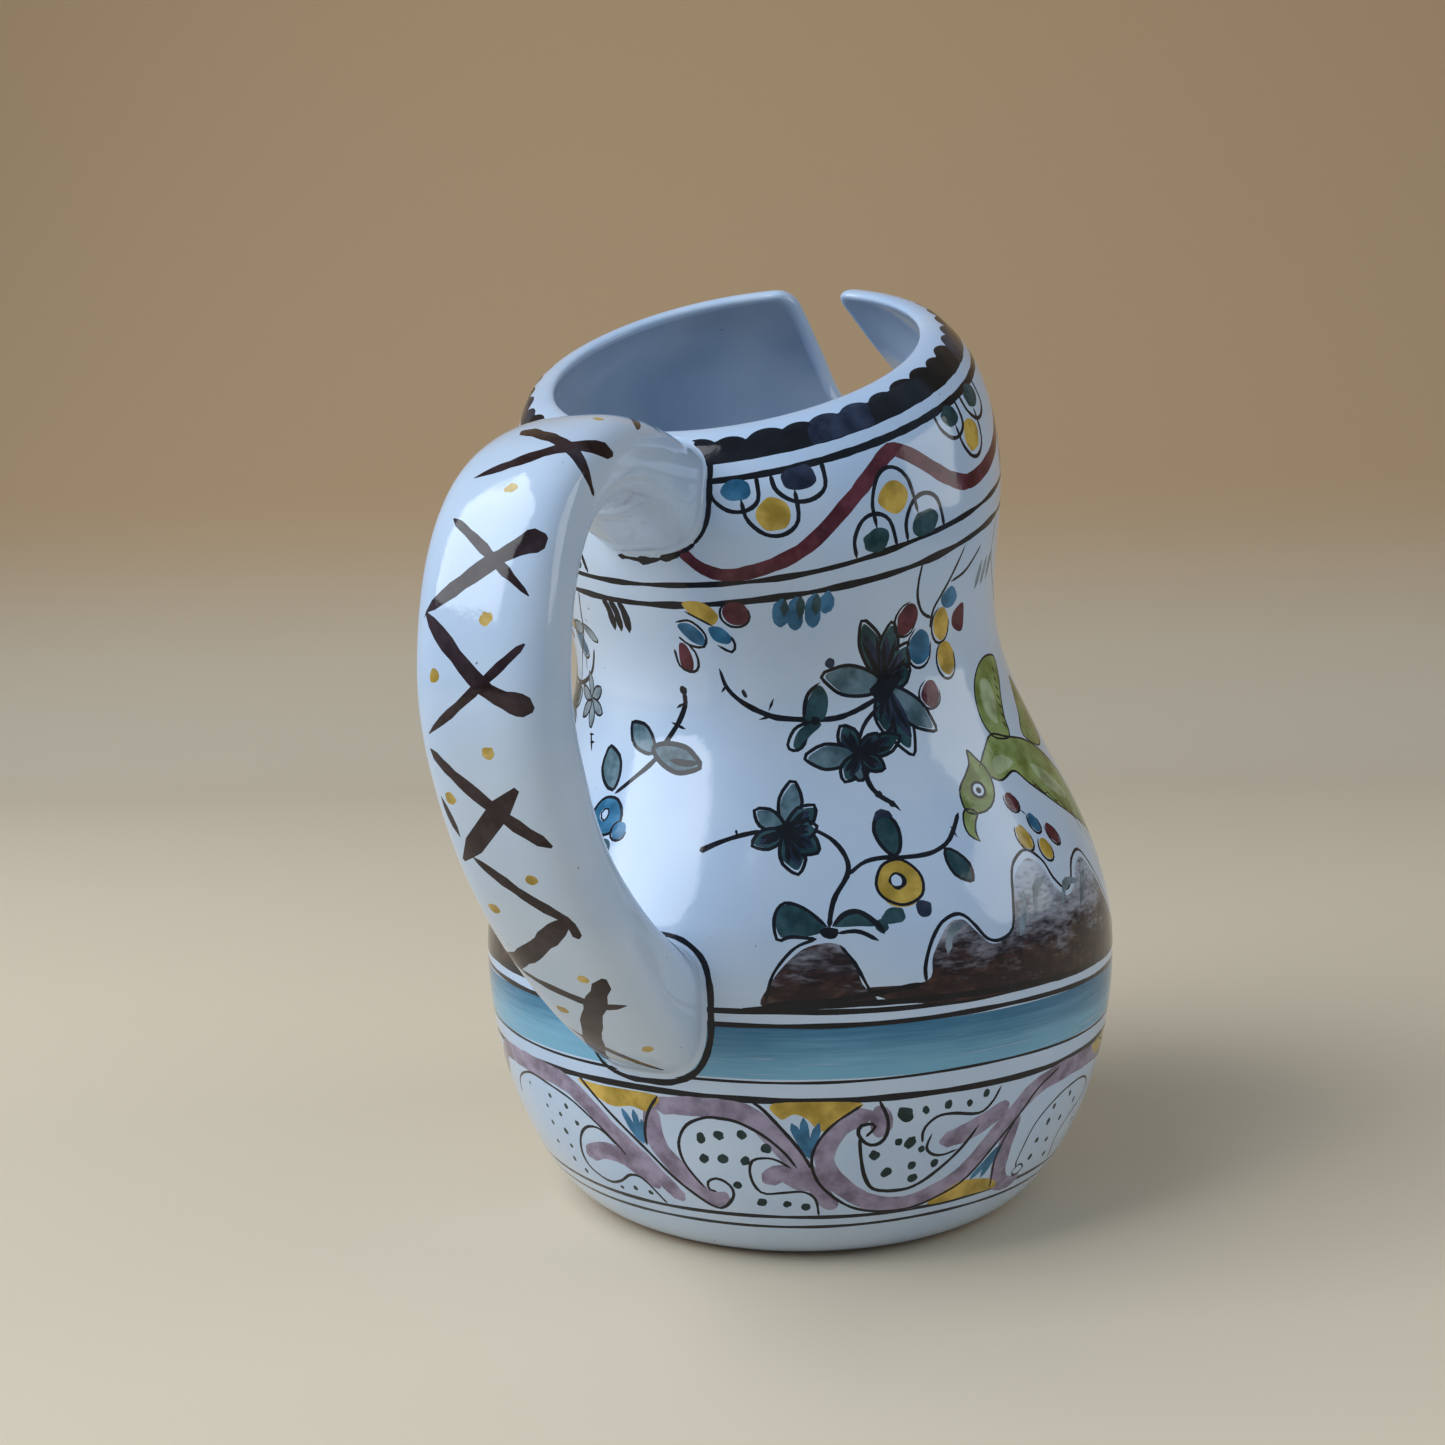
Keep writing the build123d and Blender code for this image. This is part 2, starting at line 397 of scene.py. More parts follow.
    def spot(self, paint, a, b, wide, high, turn=0.0, rough=0.12, count=12):
        """An oval dab, turned anticlockwise by some degrees."""
        points = []
        for i in range(count):
            t = 2 * pi * i / count
            size = 1 + self.chance.uniform(-rough, rough)
            x, y = wide / 2 * cos(t) * size, high / 2 * sin(t) * size
            r = radians(turn)
            points.append(self.place(a, b, x * cos(r) - y * sin(r), x * sin(r) + y * cos(r)))
        self.fill(paint, curve(points, True, 2)[:-1])

    def petal(self, paint, a, b, toward, length, wide, ink="ink", pen=0.8, wash=1.0, blunt=0.5):
        """A petal or leaf from (a, b): a wash, and a pen line that doesn't quite follow it."""
        def shape(size, shift):
            r = radians(toward)
            out = []
            for along, side in ((0, 0), (0.25, 0.75), (0.62, 1.0), (0.88, blunt), (1, 0),
                                (0.88, -blunt), (0.62, -1.0), (0.25, -0.75)):
                x, y = along * length * size, side * wide / 2 * size
                out.append(self.place(a, b, x * cos(r) - y * sin(r) + shift[0],
                        x * sin(r) + y * cos(r) + shift[1]))
            return out
        offset = self.chance.uniform(-0.25, 0.25), self.chance.uniform(-0.25, 0.25)
        if paint:
            self.blob(paint, shape(wash, offset), 4)
        if ink:
            self.line(ink, shape(1.0, (0, 0)), pen, closed=True, steps=4)

    def ring(self, paint, h, width, shake=0.1):
        """A line all the way round."""
        phase = self.chance.uniform(0, 6)
        rails = []
        for i in range(121):
            a = self.wrap + 3 * i
            t = radians(a - self.wrap)
            _, sb = self.scale(a, h)
            lift = 0.22 * sin(3 * t + phase) + 0.12 * sin(7 * t + phase * 2)
            half = width / 2 * (1 + shake * sin(17 * t + phase) + shake * 0.8 * sin(29 * t)) / sb
            rails.append(((a, h + lift + half), (a, h + lift - half)))
        for (l0, r0), (l1, r1) in zip(rails, rails[1:]):
            self.quad(paint, l0, r0, r1, l1)

    def band(self, paint, low, high):
        self.fill(paint, [(self.wrap + 2 * i, low) for i in range(181)]
                  + [(self.wrap + 360 - 2 * i, high) for i in range(181)])


def between(p0, p1, p2, p3, t):
    """Soft step from p1 to p2 that also heeds the points before and after them."""
    return 0.5 * (2 * p1 + (p2 - p0) * t + (2 * p0 - 5 * p1 + 4 * p2 - p3) * t * t
                  + (3 * p1 - p0 - 3 * p2 + p3) * t**3)


def curve(points, closed=False, steps=7):
    """A soft curve through the points."""
    if len(points) == 2:
        (a, b), (c, d) = points
        return [(a + (c - a) * i / 4, b + (d - b) * i / 4) for i in range(5)]
    out = []
    count = len(points)
    for i in range(count if closed else count - 1):
        if closed:
            p0, p1, p2, p3 = (points[(i + k) % count] for k in (-1, 0, 1, 2))
        else:
            p1, p2 = points[i], points[i + 1]
            p0 = points[i - 1] if i else (2 * p1[0] - p2[0], 2 * p1[1] - p2[1])
            p3 = points[i + 2] if i + 2 < count else (2 * p2[0] - p1[0], 2 * p2[1] - p1[1])
        for s in range(steps):
            t = s / steps
            out.append(tuple(between(p0[k], p1[k], p2[k], p3[k], t) for k in (0, 1)))
    out.append(points[0] if closed else points[-1])
    return out


def lay_skin(clay, surface, outline, inner_points, patches, stretch, paints, hollow=False, ground=0):
    """Cuts a flat sheet into triangles along its strokes and bends it onto the surface."""
    corners, faces = [], []
    for polygon in [outline] + [patch for _, patch in patches]:
        faces.append(list(range(len(corners), len(corners) + len(polygon))))
        corners += polygon
    corners += inner_points
    flat = [Vector((a * stretch, b)) for a, b in corners]
    points, _, triangles, _, _, owners = delaunay_2d_cdt(flat, [], faces, 0, 1e-5, True)
    made = {}
    for triangle, owner in zip(triangles, owners):
        if 0 not in owner:
            continue
        ids = []
        for i in triangle:
            if i not in made:
                a, b = points[i].x / stretch, points[i].y
                made[i] = clay.corner(surface(a, b), normal_of(surface, a, b) * (-1 if hollow else 1))
            ids.append(made[i])
        top = max(owner)
        paint = paints.index(patches[top - 1][0]) if top else ground
        clay.face(ids if hollow else ids[::-1], paint)


def base_points(outline, rows, columns, low, high):
    """A staggered field of points inside the sheet, kept a little away from its edge."""
    top = {}
    for a, h in outline:
        if h > (low + high) / 2:
            key = round(a)
            top[key] = min(top.get(key, 1e9), h)
    out = []
    for j in range(1, rows):
        h = low + (high - low) * j / rows
        for i in range(columns):
            a = SEAM + 360 * (i + 0.25 + 0.5 * (j % 2)) / columns
            near = min(top.get(round(a) + k, high) for k in (-1, 0, 1))
            side = (a + 180) % 360 - 180
            if h < near - 1.2 and not (abs(side) < NOTCH_HALF + 1.5 and h > near - 1.2):
                out.append((a, h))
    return out


# ---------------------------------------------------------------- the body

PAINTS = ["glaze", "ink", "navy", "leaf", "wash", "blue", "ochre", "maroon", "olive", "pale_olive",
          "scroll", "earth", "grey", "dots", "band", "bisque", "inside_shade"]


def body_mesh(sheet):
    clay = Clay()
    cyclic = edge_curve()
    edge = [(a - 360, h) for a, h in cyclic if a > SEAM + 360] + [(a, h) for a, h in cyclic if a < SEAM + 360]
    edge = spread([(SEAM, LIP_START)] + edge + [(SEAM + 360, LIP_START)], 1.5)
    columns = 180

    def outline_from(low):
        bottom = [(SEAM + 360 * i / columns, low) for i in range(columns + 1)]
        side = [low + (LIP_START - low) * i / 70 for i in range(1, 70)]
        return bottom + [(SEAM + 360, h) for h in side] + edge[::-1] + [(SEAM, h) for h in reversed(side)]
    heel = 6.0
    outline = outline_from(heel)
    lay_skin(clay, outside, outline, base_points(outline, 76, columns, heel, LIP_START), sheet.patches, 0.9,
            PAINTS)
    floor_top = FLOOR + FLOOR_ROUND
    outline = outline_from(floor_top)
    # the inner skin takes the darker inside glaze: painted shade in the hollow
    lay_skin(clay, inside, outline, base_points(outline, 56, 140, floor_top, LIP_START), [], 0.9, PAINTS,
             hollow=True, ground=PAINTS.index("inside_shade"))
    lay_lip(clay, edge[:-1])
    lay_foot(clay, columns, heel)
    lay_floor(clay, columns)
    return clay


def lay_lip(clay, edge):
    """Rolls the clay over from the outer skin to the inner one."""
    outer = [outside(a, h) for a, h in edge]
    inner = [inside(a, h) for a, h in edge]
    count, turns = len(edge), 20
    rows = [[] for _ in range(turns + 1)]
    paints = []
    for i, (a, h) in enumerate(edge):
        j, k = i - 1, (i + 1) % count
        along = ((outer[k] + inner[k]) - (outer[j] + inner[j])).normalized()
        half = (outer[i] - inner[i]).length / 2
        up_out = (outer[k] - outer[j]).cross(normal_of(outside, a, h)).normalized()
        up_in = (inner[k] - inner[j]).cross(normal_of(inside, a, h)).normalized()
        reach = 4 / 3 * LIP_PUFF * half
        pull = [outer[i], outer[i] + up_out * reach, inner[i] + up_in * reach, inner[i]]
        reach, colour = lobe_reach(a) if h == LIP_START else (0.0, 0)
        paints.append(colour)
        top = way_along(pull, reach)
        for step in range(turns + 1):
            if step < LOBE_ROWS:
                t = top * step / LOBE_ROWS
            else:
                t = top + (1 - top) * (step - LOBE_ROWS) / (turns - LOBE_ROWS)
            s = 1 - t
            point = bezier(pull, t)
            onward = ((pull[1] - pull[0]) * s * s + (pull[2] - pull[1]) * 2 * s * t
                      + (pull[3] - pull[2]) * t * t)
            rows[step].append(clay.corner(point, onward.cross(along).normalized()))
    for low, high, step in zip(rows, rows[1:], range(turns)):
        for i, (a, h) in enumerate(edge):
            j = (i + 1) % count
            clay.face([high[i], high[j], low[j], low[i]], paints[i] if step < LOBE_ROWS else 0)


LOBE_HEIGHT, LOBE_SIZE = 162.5, 3.9       # ring height of the scallops' middles, and their radius
RIM_DEGREE = 0.72                         # millimetres along the rim for each degree


def scallops():
    """Middles and colours of the scallops that are dabbed over the rim."""
    chance = random.Random(3)
    out = []
    for start, end in ((171, 27), (-27, -156)):
        count = round(abs(end - start) / 8.0)
        for i in range(count + 1):
            a = start + (end - start) * i / count + chance.uniform(-0.7, 0.7)
            out.append((a, chance.uniform(0.92, 1.08), "navy" if i % 7 > 4 else "ink"))
    return out


SCALLOPS = scallops()


LOBE_ROWS = 7                             # rows of the lip that the scallops cover


def lobe_reach(a):
    """How far over the lip's start the scallops reach at this angle, in millimetres, and their paint."""
    best = (0.0, 0)
    for middle, size, colour in SCALLOPS:
        across = ((a - middle + 180) % 360 - 180) * RIM_DEGREE
        rise = sqrt(max(0.0, (LOBE_SIZE * size) ** 2 - across**2)) + LOBE_HEIGHT - LIP_START
        if rise > best[0] + 0.02:
            best = (rise, PAINTS.index(colour))
    return best


def bezier(pull, t):
    s = 1 - t
    return pull[0] * s**3 + pull[1] * 3 * s * s * t + pull[2] * 3 * s * t * t + pull[3] * t**3


def way_along(pull, reach):
    """Share of the lip's roll at some millimetres from its start."""
    length, last = 0.0, pull[0]
    for step in range(1, 41):
        point = bezier(pull, step / 40)
        leg = (point - last).length
        if length + leg > reach:
            return max(0.01, (step - 1 + (reach - length) / leg) / 40)
        length, last = length + leg, point
    return 0.9


def lay_foot(clay, columns, heel):
    """The heel's last turn, the wiped standing ring and the glazed middle of the underside."""
    angles = [SEAM + 360 * i / columns for i in range(columns)]
    heights = [heel, 4.6, 3.4, 2.4, 1.6, 1.0, 0.55, 0.25, 0.08, 0.015, 0.0]
    rows = []
    for h in heights:
        down = Vector((0, 0, -1))
        rows.append([clay.corner(outside(a, h), normal_of(outside, a, h,
                0.02) if h > 0.1 else (normal_of(outside, a, 0.1,
                0.02) + down * (3 if h == 0 else 1)).normalized()) for a in angles])
    clay.grid(rows[:7][::-1], 0, flip=True)
    clay.grid(rows[6:][::-1], PAINTS.index("bisque"), flip=True)
    ring = [(FOOT_RADIUS, 0.0), (39.0, 0.0), (36.6, 0.0), (35.8, 0.2), (35.2, 0.65), (34.2, 0.8),
            (26.0, 0.8), (17.0, 0.8), (8.0, 0.8)]
    rows = [[clay.corner(Vector((r * sin(radians(a)), r * cos(radians(a)), z)), Vector((0, 0, -1)))
             for a in angles] for r, z in ring]
    middle = clay.corner(Vector((0, 0, 0.8)), Vector((0, 0, -1)))
    clay.grid(rows[:5], PAINTS.index("bisque"))
    clay.grid(rows[4:], 0)
    for i in range(columns):
        clay.face([rows[-1][i], rows[-1][(i + 1) % columns], middle], 0)


def lay_floor(clay, columns):
    """The rounded corner and the floor inside, in the darker inside glaze: painted shade in the hollow."""
    angles = [SEAM + 360 * i / columns for i in range(columns)]
    rows = []
    for step in range(11):
        h = FLOOR + FLOOR_ROUND * (1 - cos(pi / 2 * (1 - step / 10)))
        rows.append([clay.corner(inside(a, h), -normal_of(inside, a, h) if step < 10 else Vector((0, 0, 1)))
                     for a in angles])
    last = hollow_radius(FLOOR)
    for share in (0.8, 0.6, 0.4, 0.2):
        rows.append([clay.corner(Vector((last * share * sin(radians(a)), last * share * cos(radians(a)),
                FLOOR)), Vector((0, 0, 1))) for a in angles])
    inside_shade = PAINTS.index("inside_shade")
    clay.grid(rows, inside_shade)
    middle = clay.corner(Vector((0, 0, FLOOR)), Vector((0, 0, 1)))
    for i in range(columns):
        clay.face([rows[-1][i], rows[-1][(i + 1) % columns], middle], inside_shade)


# ---------------------------------------------------------------- the handle

def handle_rows():
    upper = -outside(180, COLLAR_HEIGHT).y
    lower = ring_radius(HANDLE_FOOT)
    rows = []
    for wall, pad_height, shares in ((upper, HANDLE_TOP, UPPER_ROWS), (lower, HANDLE_FOOT, LOWER_ROWS)):
        for side, out, way, width, thickness in shares:
            height = HANDLE_MIDDLE + (pad_height - HANDLE_MIDDLE) * way
            rows.append((HANDLE_SIDESTEP * side, -(wall + (HANDLE_REACH - wall) * out), height,
                         HANDLE_WIDTH * width, HANDLE_THICKNESS * thickness))
    return rows


class Strap:
    """The handle's skin: turn in degrees round the section, 0 facing away from the body, and way along it."""

    def __init__(self):
        rows = handle_rows()
        fine = []
        for i in range(len(rows) - 1):
            p0, p1, p2, p3 = (rows[min(max(i + k, 0), len(rows) - 1)] for k in (-1, 0, 1, 2))
            for s in range(12):
                t = s / 12
                fine.append([between(p0[k], p1[k], p2[k], p3[k], t) for k in range(5)])
        fine.append(list(rows[-1]))
        for _ in range(3):
            fine = [fine[0]] + [[(a + 2 * b + c) / 4 for a, b, c in zip(*three)]
                                for three in zip(fine, fine[1:], fine[2:])] + [fine[-1]]
        self.ways = [0.0]
        for p, q in zip(fine, fine[1:]):
            self.ways.append(self.ways[-1] + (Vector(q[:3]) - Vector(p[:3])).length)
        self.rows, self.length = fine, self.ways[-1]

    def row(self, way):
        way = min(max(way, 0.0), self.length)
        low, high = 0, len(self.ways) - 1
        while high - low > 1:
            middle = (low + high) // 2
            low, high = (middle, high) if self.ways[middle] <= way else (low, middle)
        t = (way - self.ways[low]) / (self.ways[high] - self.ways[low])
        return [p + (q - p) * t for p, q in zip(self.rows[low], self.rows[high])]

    def __call__(self, turn, way):
        x, y, z, width, thickness = self.row(way)
        ahead, behind = self.row(way + 1.5), self.row(way - 1.5)
        along = (Vector(ahead[:3]) - Vector(behind[:3])).normalized()
        face = along.cross(Vector((1, 0, 0))).normalized()
        t = radians(turn)
        square = 0.12 * sin(2 * t) ** 2                      # the strap is a little squarer than an oval
        size = 1 + square
        return (Vector((x, y, z)) + Vector((width / 2 * sin(t) * size, 0,
                                            0)) + face * (thickness / 2 * cos(t) * size))

    def meets_wall(self, turn, low, high, gap):
        """Way at which this line of the skin comes within gap of the body's wall."""
        for _ in range(30):
            middle = (low + high) / 2
            if on_wall(self(turn, middle))[2] > gap:
                high = middle
            else:
                low = middle
        return (low + high) / 2


STRAP = Strap()
STRAP_PAINTS = ["glaze", "brown_ink", "ochre"]


SMEAR_GAP, SMEAR_REACH = 1.3, 0.9         # where the slip starts above the wall, and how far out it runs


def brink_of_pad(turns, end):
    """Ways at which each line of the strap's skin comes within the slip's height of the wall."""
    return [STRAP.meets_wall(turn, end, STRAP.length / 2, SMEAR_GAP) for turn in turns]


def pad_edge(end, first, last, count, beyond):
    """Angles and heights on the body round a pad, from one turn of the strap to another."""
    turns = [first + (last - first) * i / count for i in range(count + 1)]
    feet, middle = pad_feet(list(zip(turns, brink_of_pad(turns, end))), 1 if end else -1)
    return [on_wall(foot + (foot - middle).normalized() * (SMEAR_REACH + beyond))[:2] for foot in feet]


def handle_mesh(sheet):
    """The strap, with a smear of slip that rounds each pad into the wall."""
    clay = Clay()
    columns = 96
    turns = [-180 + 360 * i / columns for i in range(columns + 1)]
    starts, ends = (brink_of_pad(turns, end) for end in (0.0, STRAP.length))
    side = [starts[0] + (ends[0] - starts[0]) * i / 90 for i in range(1, 90)]
    outline = (list(zip(turns, starts)) + [(180.0, way) for way in side]
               + list(zip(turns, ends))[::-1] + [(-180.0, way) for way in reversed(side)])
    field = []
    rows = int(STRAP.length / 1.9)
    for j in range(rows):
        way = STRAP.length * (j + 0.5) / rows
        for i in range(56):
            t = -180 + 360 * (i + 0.25 + 0.5 * (j % 2)) / 56
            k = int((t + 180) / 360 * columns)
            if max(starts[k], starts[k + 1]) + 0.8 < way < min(ends[k], ends[k + 1]) - 0.8:
                field.append((t, way))
    lay_skin(clay, STRAP, outline, field, sheet.patches, 0.16, STRAP_PAINTS)
    for brink, onward in ((starts, -1), (ends, 1)):
        lay_smear(clay, [(t, way) for t, way in zip(turns[:-1], brink)], onward)
    return clay


def pad_feet(brink, onward):
    """Where the strap's lines would run into the wall, and the middle of the pad."""
    feet = []
    for t, way in brink:
        point = STRAP(t, way)
        step = STRAP(t, way + onward) - point
        gap, nearer = on_wall(point)[2], on_wall(point + step)[2]
        a, h, _ = on_wall(point + step * (gap / (gap - nearer) if gap - nearer > 0.2 else gap))
        feet.append(outside(a, h))
    end = STRAP.length if onward > 0 else 0.0
    a, h, _ = on_wall(sum((STRAP(t, end) for t in range(0, 360, 30)), Vector()) / 12)
    return feet, outside(a, h)


def lay_smear(clay, brink, onward):
    """Rows that leave the strap at its brink and run out flat on the wall."""
    feet, middle = pad_feet(brink, onward)
    steps = 7
    rows = [[] for _ in range(steps + 1)]
    for (t, way), foot in zip(brink, feet):
        start = STRAP(t, way)
        away = (foot - middle).normalized()
        a, h, _ = on_wall(foot + away * SMEAR_REACH)
        normal = normal_of(outside, a, h)
        end = outside(a, h) - normal * 0.12
        first = normal_of(STRAP, t, way)
        for step in range(steps + 1):
            s = step / steps
            point = start * (1 - s) ** 2 + foot * 2 * s * (1 - s) + end * s * s
            onto = (first * (1 - s) + normal * s).normalized()
            rows[step].append(clay.corner(point, onto))
    clay.grid(rows, 0, flip=onward > 0)


# ---------------------------------------------------------------- the painting

def paint_lines(sheet):
    """The rings that divide the body, and the streaky blue band."""
    sheet.band("band", 37.4, 46.4)
    for h, width in ((8.5, 0.8), (10.8, 0.9), (33.7, 1.15), (37.0, 0.5), (46.7, 0.85), (49.0, 0.9)):
        sheet.ring("ink", h, width)
    for h, width in ((133.5, 1.15), (138.3, 0.95)):
        sheet.ring("ink", h, width, 0.2)


def paint_collar(sheet):
    """Rim scallops, the maroon wave and the trefoils of the collar."""
    for start, end in ((176, 16), (-16, -159)):
        sheet.line("ink", [(start + (end - start) * i / 12, 158.9) for i in range(13)], 1.5, (0.6, 0.6), 0.1)
        sheet.line("ink", [(start + (end - start) * i / 12, 162.0) for i in range(13)], 1.4, (0.4, 0.4), 0.15)
    for a, size, colour in SCALLOPS:
        sheet.fill(colour, [(a - LOBE_SIZE * size * sin(pi * i / 12) / RIM_DEGREE,
                max(LOBE_HEIGHT + LOBE_SIZE * size * cos(pi * i / 12), 161.6)) for i in range(-12, 12)])
    for turn in (0, 180):
        wave = [(176, 150.5), (173, 148.5), (167, 141.8), (159.5, 140), (146, 143), (133, 150.5),
                (122, 156.3), (117, 155.3), (106.5, 147), (97, 144), (78.5, 146), (64, 152), (50, 155.5),
                (36, 150), (22, 143.5)]
        if turn:
            wave = [(a, h) for a, h in wave if 28 < a < 166]
            wave = [(-a, h) for a, h in wave]
        sheet.line("maroon", wave, 2.8, (0.7, 0.5), 0.08)
    # hanging and standing trefoils: side, height of the line they grow from, way up, colours
    for a, h, up, colours in ((149.5, 158.8, -1, ("blue", "ochre", "navy")),
                              (123, 138.8, 1, ("leaf", "ochre", "leaf")),
                              (93.5, 158.8, -1, ("leaf", "ochre", "leaf")),
                              (66, 138.8, 1, ("leaf", "ochre", "blue")),
                              (-40, 138.8, 1, ("leaf", "ochre", "leaf")),
                              (-68, 158.8, -1, ("blue", "ochre", "leaf")),
                              (-97, 138.8, 1, ("leaf", "ochre", "leaf")),
                              (-124, 158.8, -1, ("leaf", "ochre", "navy")),
                              (-150, 138.8, 1, ("blue", "ochre", "leaf"))):
        trefoil(sheet, a, h, up, colours)


def trefoil(sheet, a, h, up, colours):
    left, middle, right = colours
    for x, y, wide, high, paint in ((-5.2, 2.1, 5.4, 3.9, left), (5.6, 2.0, 6.2, 4.4, right),
                                    (-0.2, 8.0, 6.2, 5.6, middle)):
        b, g = sheet.place(a, h, x, y * up)
        sheet.spot(paint, b, g, wide, high, 0, 0.1)

    def arch(x, foot, wide, high):
        shape = [(-wide / 2, foot), (-wide / 2 * 0.95, foot + high * 0.5), (-wide * 0.22, foot + high * 0.92),
                 (wide * 0.12, foot + high), (wide * 0.42, foot + high * 0.72), (wide / 2, foot)]
        return [sheet.place(a, h, x + u, v * up) for u, v in shape]
    sheet.line("ink", arch(-0.2, 4.0, 9.0, 8.6), 0.75)
    sheet.line("ink", arch(-5.4, 0.0, 8.2, 6.4), 0.75)
    sheet.line("ink", arch(5.6, 0.0, 9.0, 6.6), 0.8)


def berry(sheet, paint, a, h, wide, high, turn=0.0, ink="ink"):
    """A berry whose pen line leaves a sliver of white on one side."""
    sheet.spot(paint, a, h, wide, high, turn, 0.08)
    left = [(-0.16, 0.54), (-0.48, 0.3), (-0.58, -0.1), (-0.36, -0.46), (0.05, -0.55), (0.4, -0.36),
            (0.5, 0.05)]
    r = radians(turn)
    points = []
    for u, v in left:
        x, y = u * wide * 1.04, v * high * 1.04
        points.append(sheet.place(a, h, x * cos(r) - y * sin(r), x * sin(r) + y * cos(r)))
    sheet.line(ink, points, 0.5, (0.6, 0.5))


def flower(sheet, a, h, petals, size=1.0, heart=2.4):
    """Petals as (direction, length, width, paint); the dark ones are worked over twice."""
    for toward, length, wide, paint in petals:
        sheet.petal(paint, a, h, toward, length * size, wide * size, pen=0.65, wash=0.92)
    for toward, length, wide, paint in petals:
        if paint != "wash":
            sheet.petal("navy", a, h, toward + 5, length * 0.80 * size, wide * 0.50 * size, ink=None)
            for turn in (-9, 8):
                r = radians(toward + turn)
                tip = sheet.place(a, h, cos(r) * length * 0.72 * size, sin(r) * length * 0.72 * size)
                sheet.line("ink", [(a, h), tip], 1.0 * size, (1.3, 0.3), 0.3)
    sheet.spot("ink", a, h, heart * size, heart * size, 0, 0.25)


def twig(sheet, points, width=0.8, ends=(0.7, 1.0), thorns=()):
    sheet.line("ink", points, width, ends)
    for start, end in thorns:
        sheet.line("ink", [start, end], 0.55, (0.8, 0.9))


